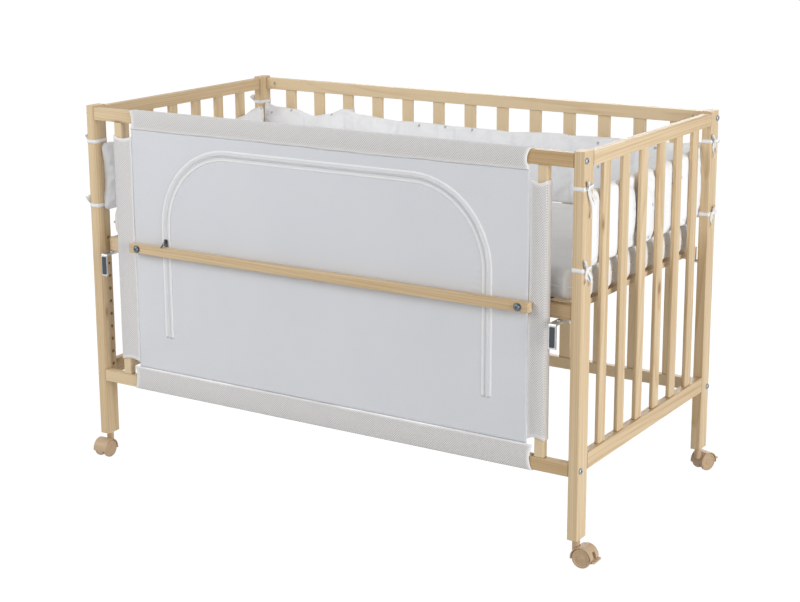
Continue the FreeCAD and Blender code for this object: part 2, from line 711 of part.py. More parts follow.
def arch_side(offset):
    """The points and arc middles of one edge of the zip, set off from its centre line."""
    out = zip_radius + offset
    shoulder = zip_top - zip_radius
    lean = out * math.sqrt(0.5)
    left = cover_shift - zip_half + zip_radius
    right = cover_shift + zip_half - zip_radius
    return (V(left - out, 0, zip_low), V(left - out, 0, shoulder),
            V(left - lean, 0, shoulder + lean), V(left, 0, shoulder + out),
            V(right, 0, shoulder + out), V(right + lean, 0, shoulder + lean),
            V(right + out, 0, shoulder), V(right + out, 0, zip_low))


def arch_strip(wide, front, thick):
    """A flat strip that follows the zip's arch, with its front face at one depth."""
    edges = []
    ends = []
    for offset in (wide / 2, -wide / 2):
        a, b, b_mid, c, d, d_mid, e, f = arch_side(offset)
        edges += [Part.LineSegment(a, b).toShape(), Part.Arc(b, b_mid, c).toShape(),
                  Part.LineSegment(c, d).toShape(), Part.Arc(d, d_mid, e).toShape(),
                  Part.LineSegment(e, f).toShape()]
        ends.append((a, f))
    edges.append(Part.LineSegment(ends[0][0], ends[1][0]).toShape())
    edges.append(Part.LineSegment(ends[0][1], ends[1][1]).toShape())
    face = Part.Face(Part.Wire(Part.__sortEdges__(edges)))
    face.translate(V(0, -front, 0))
    return face.extrude(V(0, thick, 0))


save("zip_tape", arch_strip(tape_wide, tape_front, tape_thick))
save("zip_coil", arch_strip(coil_wide, coil_front, coil_thick))

# The slider stands on the cross bar, on the left leg of the arch.
zip_x = cover_shift - zip_half
slider_z = bar_z + bar_high + touch
slider_back = coil_front + touch
crown_z = slider_z + slider_high - crown_high
plate = eased(block(span(zip_x, slider_wide), (-slider_back, -slider_back - slider_plate),
                    (slider_z, slider_z + slider_high)), Y_AXIS, slider_wide / 4)
crown = block(span(zip_x, crown_wide), (-slider_back - slider_plate / 2, -slider_back - slider_plate - crown_deep),
              (crown_z, crown_z + crown_high))
crown = eased(crown, X_AXIS, slider_plate / 2)
pull_pivot = V(zip_x, -slider_back - slider_plate - crown_deep / 2, crown_z + crown_high / 2)
window = block(span(zip_x, crown_wide + 2), span(pull_pivot.y, 2 * crown_bore),
               (crown_z + crown_high * 0.25, crown_z + crown_high * 0.75))
save("zip_slider", plate.fuse(crown).cut(window).removeSplitter())

# The pull is a ring through the crown and a tab. It leans forward, with its tip on the bar.
ring_half = crown_wide / 2 + touch + pull_ring / 2
pin = rod(pull_ring / 2, pull_pivot - V(ring_half, 0, 0), pull_pivot + V(ring_half, 0, 0))
arms = [block(span(pull_pivot.x + way * ring_half, pull_ring), span(pull_pivot.y, pull_thick),
              (pull_pivot.z - crown_high * 0.75, pull_pivot.z + pull_ring / 2)) for way in (-1, 1)]
tab = eased(block(span(pull_pivot.x, pull_wide), span(pull_pivot.y, pull_thick),
                  (pull_pivot.z - pull_long, pull_pivot.z - crown_high * 0.75)), Y_AXIS, pull_thick)
zip_pull = pin.fuse(arms).fuse(tab).removeSplitter()
zip_pull.rotate(pull_pivot, X_AXIS, -pull_lean)
save("zip_pull", zip_pull)


# ---------------------------------------------------------------- cross bar

bar = block((bar_shift - bar_half, bar_shift + bar_half), (-bar_front, -bar_back), (bar_z, bar_z + bar_high))
bar = eased(bar, X_AXIS)
bar_bolts = []
for x in bar_bolts_x:
    seat = -bar_front
    bar = bar.cut(rod(bolt_radius + bolt_slack, V(x, seat - 1, bar_mid_z), V(x, -bar_back + 1, bar_mid_z)))
    washer = rod(washer_radius, V(x, seat, bar_mid_z), V(x, seat - washer_thick, bar_mid_z))
    top = seat - washer_thick
    head = rod(bolt_head_radius, V(x, top, bar_mid_z), V(x, top - bolt_head_high, bar_mid_z))
    rim = [e for e in head.Edges if e.Curve.TypeId == "Part::GeomCircle"
           and e.CenterOfMass.y < top - bolt_head_high / 2]
    head = head.makeFillet(bolt_head_high * 0.7, rim)
    socket = rod(bolt_socket_radius, V(x, top - bolt_head_high + bolt_socket_deep, bar_mid_z),
                 V(x, top - bolt_head_high - 1, bar_mid_z))
    shank = rod(bolt_radius, V(x, top, bar_mid_z), V(x, bar_bolt_tip - fit, bar_mid_z))
    bar_bolts.append(head.fuse(shank).cut(socket))
    bar_bolts.append(washer.cut(rod(bolt_radius, V(x, seat + 1, bar_mid_z), V(x, top - 1, bar_mid_z))))
save("cross_bar", bar)
save("cross_bar_bolts", bar_bolts)


# ---------------------------------------------------------------- casters

axle_point = V(caster_trail, 0, wheel_radius)
well_radius = wheel_radius + hood_gap
hood_radius = well_radius + hood_wall
hood_half = web_half + wheel_gap + wheel_wide + wheel_gap
boss_top = caster_height - socket_flange - touch
lever_reach = hood_radius + 1


def disc(radius, low_y, high_y):
    """A disc round the axle, between two planes."""
    return rod(radius, axle_point + V(0, low_y, 0), axle_point + V(0, high_y, 0))


def caster_housing(braked):
    """The moulded body: a web between the wheels, a hood over them and the boss of the stem."""
    body = disc(hood_radius, -hood_half, hood_half).fuse(
        rod(boss_radius, V(0, 0, wheel_radius + boss_above_axle), V(0, 0, boss_top)))
    reach = 3 * hood_radius
    for way in (-1, 1):
        body = body.cut(disc(well_radius, way * web_half, way * (hood_half + 1)))
        body = body.cut(block((-reach, reach), (way * web_half, way * reach), (-reach, hood_low)))
    body = body.cut(block((-reach, reach), (-reach, reach), (-reach, web_low)))
    body = body.cut(rod(stem_radius - running, V(0, 0, wheel_radius + stem_above_axle), V(0, 0, boss_top + 1)))
    body = body.cut(disc(axle_radius, -web_half - 1, web_half + 1))
    if braked:
        slot_half = lever_half + lever_gap
        body = body.cut(disc(lever_hub + lever_gap, -slot_half, slot_half))
        margin = math.degrees(math.asin((lever_thick / 2 + lever_gap) / lever_hub))
        low = lever_up - lever_travel - margin
        high = lever_up + margin
        points = [axle_point + V(0, -slot_half, 0)]
        points += [axle_point + V(reach * math.cos(math.radians(a)), -slot_half,
                                  reach * math.sin(math.radians(a))) for a in (low, high)]
        wedge = Part.Face(Part.makePolygon(points + points[:1])).extrude(V(0, 2 * slot_half, 0))
        body = body.cut(wedge)
    return body.removeSplitter()


def caster_wheel(way):
    """A wheel with a rounded tread and a dished outer face. Its bore is closed outside."""
    def at(radius, across):
        return axle_point + V(0, way * (web_half + wheel_gap + across), radius)
    bend = wheel_round * (1 - math.sqrt(0.5))
    bore = axle_radius + running
    outside = wheel_wide
    points = [at(bore, 0), at(wheel_radius - wheel_round, 0), at(wheel_radius - bend, bend),
              at(wheel_radius, wheel_round), at(wheel_radius, outside - wheel_round),
              at(wheel_radius - bend, outside - bend), at(wheel_radius - wheel_round, outside),
              at(dish_radius + dish_deep, outside), at(dish_radius, outside - dish_deep),
              at(hub_radius + dish_deep, outside - dish_deep), at(hub_radius, outside),
              at(0, outside), at(0, outside - 2), at(bore, outside - 2)]
    edges = [Part.LineSegment(points[0], points[1]).toShape(),
             Part.Arc(points[1], points[2], points[3]).toShape(),
             Part.LineSegment(points[3], points[4]).toShape(),
             Part.Arc(points[4], points[5], points[6]).toShape()]
    run = points[6:] + points[:1]
    edges += [Part.LineSegment(a, b).toShape() for a, b in zip(run, run[1:])]
    return Part.Face(Part.Wire(edges)).revolve(axle_point, Y_AXIS, 360)


def brake_lever(angle):
    """A lever that turns on the axle between the wheels, with a pedal across the back of the hoods."""
    hub = disc(lever_hub, -lever_half, lever_half)
    arm = block((0, lever_reach + pedal_out), (-lever_half, lever_half), span(0, lever_thick))
    pedal = block((lever_reach, lever_reach + pedal_out), (-pedal_half, pedal_half), span(0, lever_thick))
    pedal = eased(pedal, Z_AXIS, pedal_out * 0.4)
    arm = arm.fuse(pedal)
    arm.rotate(V(0, 0, 0), Y_AXIS, -angle)
    arm.translate(axle_point)
    return hub.fuse(arm).cut(disc(axle_radius + running, -web_half, web_half)).removeSplitter()


def placed(shape, side, face, turn):
    """A caster piece, turned to the way that its caster trails and set under its post."""
    moved = shape.copy()
    moved.rotate(V(0, 0, 0), Z_AXIS, turn)
    moved.translate(V(side * post_mid_x, face * post_mid_y, 0))
    return moved


stem_low = wheel_radius + stem_above_axle
stem_top = caster_height + stem_into_post
stem = rod(stem_radius - running, V(0, 0, stem_low), V(0, 0, stem_top))
axle_end = web_half + wheel_gap + wheel_wide - 2 - touch
axle = disc(axle_radius, -axle_end, axle_end)
socket = rod(socket_radius, V(0, 0, caster_height), V(0, 0, stem_top + socket_flange))
socket = socket.fuse(rod(socket_flange_radius, V(0, 0, caster_height - socket_flange), V(0, 0, caster_height)))
socket = socket.cut(rod(stem_radius, V(0, 0, 0), V(0, 0, stem_top + touch))).removeSplitter()

sockets = []
for name, (side, face, turn, lever_angle) in casters.items():
    braked = lever_angle is not None
    sockets.append(placed(socket, side, face, 0))
    save("caster_" + name + "_housing", placed(caster_housing(braked), side, face, turn))
    save("caster_" + name + "_stem_and_axle",
         [placed(stem, side, face, turn), placed(axle, side, face, turn)])
    for way, wheel in ((-1, "wheel_a"), (1, "wheel_b")):
        save("caster_" + name + "_" + wheel, placed(caster_wheel(way), side, face, turn))
    if braked:
        save("caster_" + name + "_brake", placed(brake_lever(lever_angle), side, face, turn))
save("caster_sockets", sockets)
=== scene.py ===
from math import atan2, ceil, cos, exp, pi, radians, sin, sqrt

import bmesh
import bpy
from mathutils import Matrix, Vector
from mathutils.noise import noise


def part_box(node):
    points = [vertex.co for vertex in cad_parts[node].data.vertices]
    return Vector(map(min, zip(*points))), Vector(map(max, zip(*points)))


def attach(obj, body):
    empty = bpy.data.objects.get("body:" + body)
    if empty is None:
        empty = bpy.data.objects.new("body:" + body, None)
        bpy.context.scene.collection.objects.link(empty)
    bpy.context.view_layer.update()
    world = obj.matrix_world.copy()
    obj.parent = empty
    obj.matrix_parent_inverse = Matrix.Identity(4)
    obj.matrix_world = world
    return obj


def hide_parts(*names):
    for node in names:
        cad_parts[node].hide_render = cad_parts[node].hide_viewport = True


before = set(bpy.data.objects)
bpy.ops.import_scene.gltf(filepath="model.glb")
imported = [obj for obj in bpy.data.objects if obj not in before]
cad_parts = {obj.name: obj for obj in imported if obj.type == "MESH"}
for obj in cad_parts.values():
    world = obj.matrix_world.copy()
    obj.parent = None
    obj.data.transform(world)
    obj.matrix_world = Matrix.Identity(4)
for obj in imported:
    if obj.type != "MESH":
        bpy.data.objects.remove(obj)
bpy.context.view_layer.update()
scene = bpy.context.scene

# ---------- wooden frame
# Posts, rails, slats, front uprights, cross bar and mattress base, sawn from pale solid pine,
# with their arrises eased and a clear water-based lacquer. The rails are tenoned or bolted to the
# posts and the slats stand in housings, so each joint shows as a fine dark line.

mm = 0.001
pale_wood = (0.750, 0.590, 0.380, 1)
late_wood = (0.50, 0.325, 0.155, 1)


def add(tree, kind, inputs=None, **settings):
    """A shader node with its settings and its inputs, which are values or linked sockets."""
    made = tree.nodes.new("ShaderNode" + kind)
    for key, value in settings.items():
        setattr(made, key, value)
    for key, value in (inputs or {}).items():
        if isinstance(value, bpy.types.NodeSocket):
            tree.links.new(value, made.inputs[key])
        else:
            made.inputs[key].default_value = value
    return made


def sums(tree, operation, a, b=0.0, c=0.0):
    """The result of one Math node."""
    return add(tree, "Math", {0: a, 1: b, 2: c}, operation=operation).outputs[0]


def times(tree, a, b):
    """Their product."""
    return sums(tree, "MULTIPLY", a, b)


def linear(tree, value, gain, shift):
    """A value multiplied by a gain and shifted."""
    return sums(tree, "MULTIPLY_ADD", value, gain, shift)


def mixed(tree, share, a, b):
    """Two colours mixed by a share."""
    return add(tree, "Mix", {0: share, 6: a, 7: b}, data_type="RGBA").outputs[2]


def ramp(tree, value, stops):
    """A grey ramp through (place, level) stops."""
    made = add(tree, "ValToRGB", {0: value})
    while len(made.color_ramp.elements) < len(stops):
        made.color_ramp.elements.new(0.5)
    for element, (place, level) in zip(made.color_ramp.elements, stops):
        element.position = place
        element.color = (level, level, level, 1)
    return made.outputs[0]


def object_place(tree):
    """Where a point is in its object."""
    return add(tree, "TexCoord").outputs["Object"]


def split_of(tree, place):
    """The X, Y and Z of a place."""
    return add(tree, "SeparateXYZ", {0: place}).outputs


def stretched(tree, place, size, turn=(0, 0, 0)):
    """A place turned, and scaled by one size or by one for each axis."""
    size = size if isinstance(size, tuple) else (size, size, size)
    return add(tree, "Mapping", {"Vector": place, "Scale": size, "Rotation": turn}).outputs[0]


def speckle(tree, place, size, detail=2.0, rough=0.5):
    """A noise texture's value, from about 0.3 to 0.7."""
    return add(tree, "TexNoise", {"Vector": stretched(tree, place, size), "Scale": 1.0, "Detail": detail,
                                  "Roughness": rough}).outputs[0]


def effect(name, takes, gives):
    """An empty node group with named inputs and outputs."""
    tree = bpy.data.node_groups.new(name, "ShaderNodeTree")
    for label, kind in takes.items():
        tree.interface.new_socket(label, in_out="INPUT", socket_type="NodeSocket" + kind)
    for label, kind in gives.items():
        tree.interface.new_socket(label, in_out="OUTPUT", socket_type="NodeSocket" + kind)
    return tree, tree.nodes.new("NodeGroupInput").outputs, tree.nodes.new("NodeGroupOutput").inputs


def use(tree, group, inputs):
    """One effect placed in a material."""
    return add(tree, "Group", inputs, node_tree=group).outputs


def finish_of(name, **constant):
    """A new material: its tree and its Principled shader, with the constant values set."""
    made = bpy.data.materials.new(name)
    made.use_nodes = True
    shader = made.node_tree.nodes["Principled BSDF"]
    for key, value in constant.items():
        shader.inputs[key.replace("_", " ")].default_value = value
    return made, made.node_tree, shader


def feed(tree, shader, color=None, roughness=None, height=None, depth=0.001, alpha=None):
    """Links the changing colour, roughness and height to a shader."""
    if color is not None:
        tree.links.new(color, shader.inputs["Base Color"])
    if roughness is not None:
        tree.links.new(roughness, shader.inputs["Roughness"])
    if alpha is not None:
        tree.links.new(alpha, shader.inputs["Alpha"])
    if height is not None:
        bump = add(tree, "Bump", {"Strength": 1.0, "Distance": depth, "Height": height})
        tree.links.new(bump.outputs[0], shader.inputs["Normal"])


def build_grain():
    """Growth rings about scattered hearts, fibres, small knots and a board's own tone, with painted light
    and shade added from outside. Grain is along Z.
    """
    takes = {"Place": "Vector", "Pale": "Color", "Late": "Color", "Joint": "Float", "Painted shade and light": "Float"}
    gives = {"Color": "Color", "Height": "Float", "Roughness": "Float"}
    tree, given, result = effect("Pine grain", takes, gives)
    place = given["Place"]
    wander = add(tree, "TexNoise", {"Vector": stretched(tree, place, (9, 9, 0.7)), "Scale": 1.0,
                                    "Detail": 2.0}).outputs[1]
    shifted = add(tree, "VectorMath", {0: wander, 1: (0.05, 0.05, 0.0)}, operation="MULTIPLY").outputs[0]
    around = add(tree, "VectorMath", {0: place, 1: shifted}, operation="ADD").outputs[0]
    heart = add(tree, "TexVoronoi", {"Vector": stretched(tree, around, (7, 7, 0.16)), "Scale": 1.0,
                                     "Randomness": 0.9}).outputs[0]
    rings = sums(tree, "FRACT", times(tree, heart, 34.0))
    ring = ramp(tree, rings, ((0.0, 0.10), (0.45, 0.16), (0.80, 0.62), (0.93, 1.0), (1.0, 0.10)))
    fibre = speckle(tree, place, (620, 620, 11), 3.0, 0.6)
    streak = speckle(tree, place, (120, 120, 2.2), 2.0)
    tone = speckle(tree, place, (14, 14, 0.9), 1.0)
    knots = add(tree, "TexVoronoi", {"Vector": stretched(tree, around, (9, 9, 3.6)), "Scale": 1.0})
    knot = ramp(tree, knots.outputs[0], ((0.0, 1.0), (0.035, 0.85), (0.06, 0.25), (0.10, 0.0)))
    share = linear(tree, ring, 0.42, linear(tree, streak, 1.05, -0.45))
    # The given painted light and shade moves the wood between its pale and late colours.
    for more in (linear(tree, fibre, 0.36, -0.18), linear(tree, tone, 0.85, -0.38), given["Painted shade and light"]):
        share = sums(tree, "ADD", share, more)
    share = sums(tree, "MAXIMUM", sums(tree, "MINIMUM", share, 1.0), 0.0)
    wood = mixed(tree, share, given["Pale"], given["Late"])
    wood = mixed(tree, knot, wood, (0.30, 0.155, 0.07, 1))
    line = ramp(tree, times(tree, given["Joint"], 400.0), ((0.0, 0.85), (0.30, 0.55), (0.55, 0.0)))
    wood = mixed(tree, line, wood, (0.20, 0.12, 0.06, 1))
    tree.links.new(wood, result["Color"])
    rise = sums(tree, "SUBTRACT", linear(tree, fibre, 0.7, times(tree, ring, 0.25)), times(tree, line, 1.5))
    tree.links.new(rise, result["Height"])
    tree.links.new(linear(tree, ring, 0.12, 0.42), result["Roughness"])
    return tree


grain = build_grain()
quarter = pi / 2
grain_turns = {"Z": (0, 0, 0), "X": (0, quarter, 0), "Y": (quarter, 0, 0)}


def wood_finish(name, axis, joints, painted_light_and_shade, painted_shade_slope):
    """Lacquered pine whose grain runs along one axis, with dark lines at its joints on that axis.

    A board may carry painted shade as a whole, or painted light where the value is negative, and painted
    shade that grows from paler to darker along it."""
    made, tree, shader = finish_of(name, Coat_Weight=0.04, Coat_Roughness=0.35, Specular_IOR_Level=0.32)
    place = object_place(tree)
    run = split_of(tree, place)[axis]
    nearest = 1.0
    for joint in joints:
        away = sums(tree, "ABSOLUTE", sums(tree, "SUBTRACT", run, joint * mm))
        nearest = sums(tree, "MINIMUM", nearest, away)
    # Painted light and shade, as a whole and growing along the board, go into the grain's mix of colours.
    grown = use(tree, grain, {"Place": stretched(tree, place, 1, grain_turns[axis]), "Pale": pale_wood,
                              "Late": late_wood, "Joint": nearest, "Painted shade and light": linear(tree, run, painted_shade_slope, painted_light_and_shade)})
    feed(tree, shader, grown["Color"], grown["Roughness"], grown["Height"], 0.12 * mm)
    return made


def dress(names, made):
    """Gives CAD nodes a material."""
    for name in names:
        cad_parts[name].data.materials.clear()
        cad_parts[name].data.materials.append(made)


corner_names = ("front_left", "front_right", "back_left", "back_right")
rail_ends = (-603, 603)
# Each group of boards carries painted shade where it stands in shade and painted light where it is lit, as
# a whole and growing along it.
for kind, axis, joints, painted_light_and_shade, painted_shade_slope, names in (
        ("posts", "Z", (), 0.05, 0.0, ["post_" + place for place in corner_names]),
        ("end_slats", "Z", (229, 802), 0.0, 0.0, ["end_slats_left", "end_slats_right"]),
        ("slats", "Z", (214, 802), -0.45, 0.0, ["back_slats", "front_uprights", "front_dowels"]),
        ("front_rails", "X", rail_ends, 0.20, 0.62,
         ["front_top_rail", "front_bottom_rail", "base_front_rail"]),
        ("back_rails", "X", rail_ends, -0.40, 0.0, ["back_top_rail", "back_bottom_rail", "base_back_rail"]),
        ("bar", "X", (), 0.06, 0.10, ["cross_bar"]),
        ("end_rails", "Y", (-292.5, 292.5), 0.22, 0.0, ["end_top_rails", "end_bottom_rails"]),
        ("base", "Y", (), 0.0, 0.0, ["base_end_rails", "base_slats"])):
    dress(names, wood_finish("Pine_" + kind, axis, joints, painted_light_and_shade, painted_shade_slope))

# ---------- mesh cover: panel
# The open front is closed by a panel of fine knitted net, stretched between the four sleeves that
# it is sewn to, with slight waves. It puckers at the round corners of the zip.


def placed(name, data):
    """A new object of some data, in the scene."""
    made = bpy.data.objects.new(name, data)
    scene.collection.objects.link(made)
    return made


def join_up(name, mesh, made, node_names, smooth=True):
    """A piece on the frame from a bmesh, with its normals outwards, in place of its CAD nodes."""
    bmesh.ops.remove_doubles(mesh, verts=mesh.verts, dist=1e-6)
    bmesh.ops.recalc_face_normals(mesh, faces=mesh.faces)
    data = bpy.data.meshes.new(name)
    mesh.to_mesh(data)
    mesh.free()
    for face in data.polygons:
        face.use_smooth = smooth
    piece = placed(name, data)
    data.materials.append(made)
    if node_names:
        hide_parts(*node_names)
    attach(piece, "frame")
    return piece


tape_low, tape_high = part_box("zip_tape")
tape_wide = 23 * mm
zip_mid = (tape_low[0] + tape_high[0]) / 2
zip_half = (tape_high[0] - tape_low[0] - tape_wide) / 2
zip_top = tape_high[2] - tape_wide / 2
zip_low = tape_low[2]
zip_radius = 176 * mm


def build_net():
    """Knitted net: rows of small round holes, and the threads between them."""
    tree, given, result = effect("Knitted net", {"Across": "Float", "Up": "Float", "Pitch": "Float"},
                                 {"Threads": "Float", "Height": "Float"})
    beat = sums(tree, "DIVIDE", 2 * pi, given["Pitch"])
    a = sums(tree, "SINE", times(tree, given["Across"], beat))
    b = sums(tree, "SINE", times(tree, given["Up"], beat))
    crossing = times(tree, a, b)
    tree.links.new(ramp(tree, linear(tree, crossing, 0.5, 0.5),
                        ((0.0, 1.0), (0.62, 1.0), (0.80, 0.0), (1.0, 0.0))), result["Threads"])
    tree.links.new(linear(tree, crossing, -0.5, 0.5), result["Height"])
    return tree


net = build_net()


def panel_finish():
    """Fine white net, seen through a little."""
    made, tree, shader = finish_of("Net_panel", Roughness=0.85, Sheen_Weight=0.25)
    place = object_place(tree)
    split = split_of(tree, place)
    knit = use(tree, net, {"Across": split["X"], "Up": split["Z"], "Pitch": 3.4 * mm})
    soft = speckle(tree, place, (7, 7, 4), 3.0)
    color = mixed(tree, soft, (0.75, 0.77, 0.815, 1), (0.805, 0.82, 0.855, 1))
    color = mixed(tree, knit["Threads"], mixed(tree, 0.22, color, (0.5, 0.51, 0.53, 1)), color)
    alpha = linear(tree, knit["Threads"], 0.12, 0.82)
    x = sums(tree, "ABSOLUTE", sums(tree, "SUBTRACT", split["X"], zip_mid))
    x = sums(tree, "SUBTRACT", x, zip_half - zip_radius)
    z = sums(tree, "SUBTRACT", split["Z"], zip_top - zip_radius)
    reach = sums(tree, "SQRT", linear(tree, x, x, times(tree, z, z)))
    inside = ramp(tree, sums(tree, "DIVIDE", reach, zip_radius),
                  ((0.0, 0.0), (0.76, 0.0), (0.90, 1.0), (0.94, 1.0), (0.97, 0.0)))
    corner = times(tree, sums(tree, "GREATER_THAN", x, 0.0), sums(tree, "GREATER_THAN", z, -0.06))
    pleat = sums(tree, "SINE", times(tree, sums(tree, "ARCTAN2", z, x), 74.0))
    pucker = times(tree, pleat, times(tree, inside, corner))
    height = linear(tree, pucker, 2.2, knit["Height"])
    feed(tree, shader, color, None, height, 0.08 * mm, alpha)
    return made


def shell(mesh, thickness):
    """Gives an open sheet a thickness, half to each side."""
    bmesh.ops.recalc_face_normals(mesh, faces=mesh.faces)
    for vert in mesh.verts:
        vert.co += vert.normal * thickness / 2
    bmesh.ops.solidify(mesh, geom=mesh.faces[:], thickness=thickness)


low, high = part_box("mesh_panel")
panel_mid = (Vector(low) + Vector(high)) / 2
panel_width = high[0] - low[0]
panel_height = high[2] - low[2]
mesh = bmesh.new()
bmesh.ops.create_grid(mesh, x_segments=200, y_segments=110, size=0.5)
bmesh.ops.scale(mesh, vec=(panel_width, panel_height, 1), verts=mesh.verts)
bmesh.ops.rotate(mesh, matrix=Matrix.Rotation(quarter, 3, "X"), verts=mesh.verts)
for vert in mesh.verts:
    u = vert.co.x / panel_width + 0.5
    v = vert.co.z / panel_height + 0.5
    edge = min(1, 14 * min(u, 1 - u)) * min(1, 10 * min(v, 1 - v))
    place = Vector((vert.co.x * 3.2, vert.co.z * 1.4, 0))
    vert.co.y += edge * (0.9 * noise(place) + 0.35 * noise(place * 4)) * mm
bmesh.ops.translate(mesh, vec=panel_mid, verts=mesh.verts)
shell(mesh, 0.4 * mm)
panel = join_up("net_panel", mesh, panel_finish(), ["mesh_panel"])

# ---------- mesh cover: sleeves
# Four sleeves of a thicker spacer mesh run round the rails and uprights of the front frame. Each is
# one strip, folded round its bar and sewn to the panel's edge as a flat double flap.

sleeve_grey = (0.63, 0.62, 0.615, 1)
sleeve_pale = (0.79, 0.775, 0.77, 1)
sleeve_hole = (0.38, 0.37, 0.365, 1)
sleeve_wall = 1.5 * mm


def sleeve_finish():
    """Spacer mesh: diamonds of open holes over a pale ground, hemmed in white."""
    made, tree, shader = finish_of("Spacer_mesh", Roughness=0.9, Sheen_Weight=0.3)
    place = object_place(tree)
    split = split_of(tree, place)
    up = sums(tree, "ADD", split["Y"], split["Z"])
    knit = use(tree, net, {"Across": split["X"], "Up": up, "Pitch": 5.2 * mm})
    hem = add(tree, "Attribute", attribute_name="hem").outputs["Fac"]
    soft = speckle(tree, place, 30, 3.0)
    color = mixed(tree, knit["Threads"], sleeve_hole, sleeve_pale)
    color = mixed(tree, times(tree, soft, 0.30), color, sleeve_grey)
    color = mixed(tree, hem, color, (0.96, 0.955, 0.95, 1))
    feed(tree, shader, color, None, knit["Height"], 0.35 * mm)
    return made


spacer_mesh = sleeve_finish()


def within(value):
    """A value kept from 0 to 1."""
    return min(1, max(0, value))


def corner_round(points, radius, steps):
    """An open outline with its corners rounded."""
    made = [points[0]]
    for before, corner, after in zip(points, points[1:], points[2:]):
        back = (before - corner).normalized() * min(radius, (before - corner).length * 0.45)
        on = (after - corner).normalized() * min(radius, (after - corner).length * 0.45)
        for i in range(steps + 1):
            t = i / steps
            made.append((corner + back) * (1 - t) ** 2 + corner * 2 * t * (1 - t) + (corner + on) * t ** 2)
    return made + [points[-1]]


def spaced(points, step):
    """The same outline with points no further apart than a step."""
    made = [points[0]]
    for a, b in zip(points, points[1:]):
        count = max(1, ceil((b - a).length / step))
        made += [a.lerp(b, (i + 1) / count) for i in range(count)]
    return made


def extruded(mesh, edges):
    """Extrudes open edges where they are: the new edges, vertices and faces."""
    grown = bmesh.ops.extrude_edge_only(mesh, edges=edges)["geom"]
    return [[item for item in grown if isinstance(item, kind)]
            for kind in (bmesh.types.BMEdge, bmesh.types.BMVert, bmesh.types.BMFace)]


def swept(outline, along, start, end, step):
    """A sheet: the outline extruded along an axis in short steps."""
    mesh = bmesh.new()
    verts = [mesh.verts.new(point + along * start) for point in outline]
    edges = [mesh.edges.new(pair) for pair in zip(verts, verts[1:])]
    count = max(1, round((end - start) / step))
    for i in range(count):
        edges, moved, _ = extruded(mesh, edges)
        bmesh.ops.translate(mesh, vec=along * (end - start) / count, verts=moved)
    return mesh


def sleeve(name, node, bar_low, bar_high, flap_end, along):
    """One sleeve round a bar whose section is given by two corners, with its flap to an edge.

    The section has the way of the flap first and the way out to the front second."""
    low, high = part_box(node)
    axis = 0 if along.x else 2
    side = Vector((0, 0, 1)) if along.x else Vector((1, 0, 0))
    out = Vector((0, -1, 0))
    slack = 0.35 * mm + sleeve_wall / 2
    way = 1 if flap_end > bar_high[0] else -1
    near = bar_high[0] + slack if way > 0 else bar_low[0] - slack
    far = bar_low[0] - slack if way > 0 else bar_high[0] + slack
    front = bar_high[1] + slack
    back = bar_low[1] - slack
    fold = front - 1.15 * sleeve_wall
    corners = [side * a + out * b for a, b in ((flap_end, front), (far, front), (far, back), (near, back),
                                               (near, fold), (flap_end - way * 1.5 * mm, fold))]
    outline = spaced(corner_round(corners, 3.0 * mm, 4), 4 * mm)
    mesh = swept(outline, along, low[axis], high[axis], 5 * mm)
    shell(mesh, 0.92 * sleeve_wall)
    hem = mesh.verts.layers.float.new("hem")
    for vert in mesh.verts:
        place = Vector(vert.co)
        depth = abs(place.dot(side) - (bar_low[0] + bar_high[0]) / 2) - (bar_high[0] - bar_low[0]) / 2
        loose = within(depth / (6 * mm)) if way * (place.dot(side) - far) > 0 else 0
        edge = abs(place.dot(side) - flap_end)
        wave = noise(Vector((place.dot(along) * 16, 0.3, edge * 3)))
        fine = noise(Vector((place.dot(along) * 55, place.dot(side) * 40, place.y * 40)))
        sag = noise(Vector((place.dot(along) * 3.2, 0.7, 5 * low[2])))
        vert.co += side * way * loose * (1.2 * wave + 3.2 * sag) * mm
        vert.co += out * max(-0.1, 0.5 * fine + 0.3 * wave) * mm * (0.4 + 0.6 * loose)
        ends = min(place.dot(along) - low[axis], high[axis] - place.dot(along))
        inward = 1 if place.dot(along) < (low[axis] + high[axis]) / 2 else -1
        drop = within((place.dot(side) - far) / (flap_end - far))
        if place.dot(out) > front - 2 * sleeve_wall:
            vert.co += out * 1.9 * mm * sin(pi * min(1, 1.25 * drop)) ** 0.8
        vert.co += along * inward * 6 * mm * max(0, 1 - ends / (50 * mm)) * sin(pi * drop)
        if ends < 5.5 * mm:
            vert.co += vert.normal * 0.35 * mm
        vert[hem] = max(1 - edge / (4.5 * mm) if loose else 0.0, 1 - ends / (9 * mm), 0.0) * 0.95
    join_up(name, mesh, spacer_mesh, [node])


def section(node, side_axis):
    """The two corners of a bar's section: along the flap's way, and out to the front."""
    low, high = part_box(node)
    return (low[side_axis], -high[1]), (high[side_axis], -low[1])


for name, rail, edge in (("top", "front_top_rail", 0), ("bottom", "front_bottom_rail", 1)):
    node = "cover_sleeve_" + name
    sleeve(name + "_sleeve", node, *section(rail, 2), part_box(node)[edge][2], Vector((1, 0, 0)))
upright_low, upright_high = section("front_uprights", 0)
upright_mid = 536 * mm
upright_wide = 21 * mm
for name, side, edge in (("left", -1, 1), ("right", 1, 0)):
    node = "cover_sleeve_" + name
    middle = side * upright_mid
    sleeve("sleeve_%s_piece" % name, node, (middle - upright_wide / 2, upright_low[1]),
           (middle + upright_wide / 2, upright_high[1]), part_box(node)[edge][0], Vector((0, 0, 1)))

# ---------- zip
# A flap in the panel opens with a long nylon zip, sewn in as an arch. A woven tape carries the
# coil, whose turns show as fine ribs, and each side of the tape is held by a row of stitches.


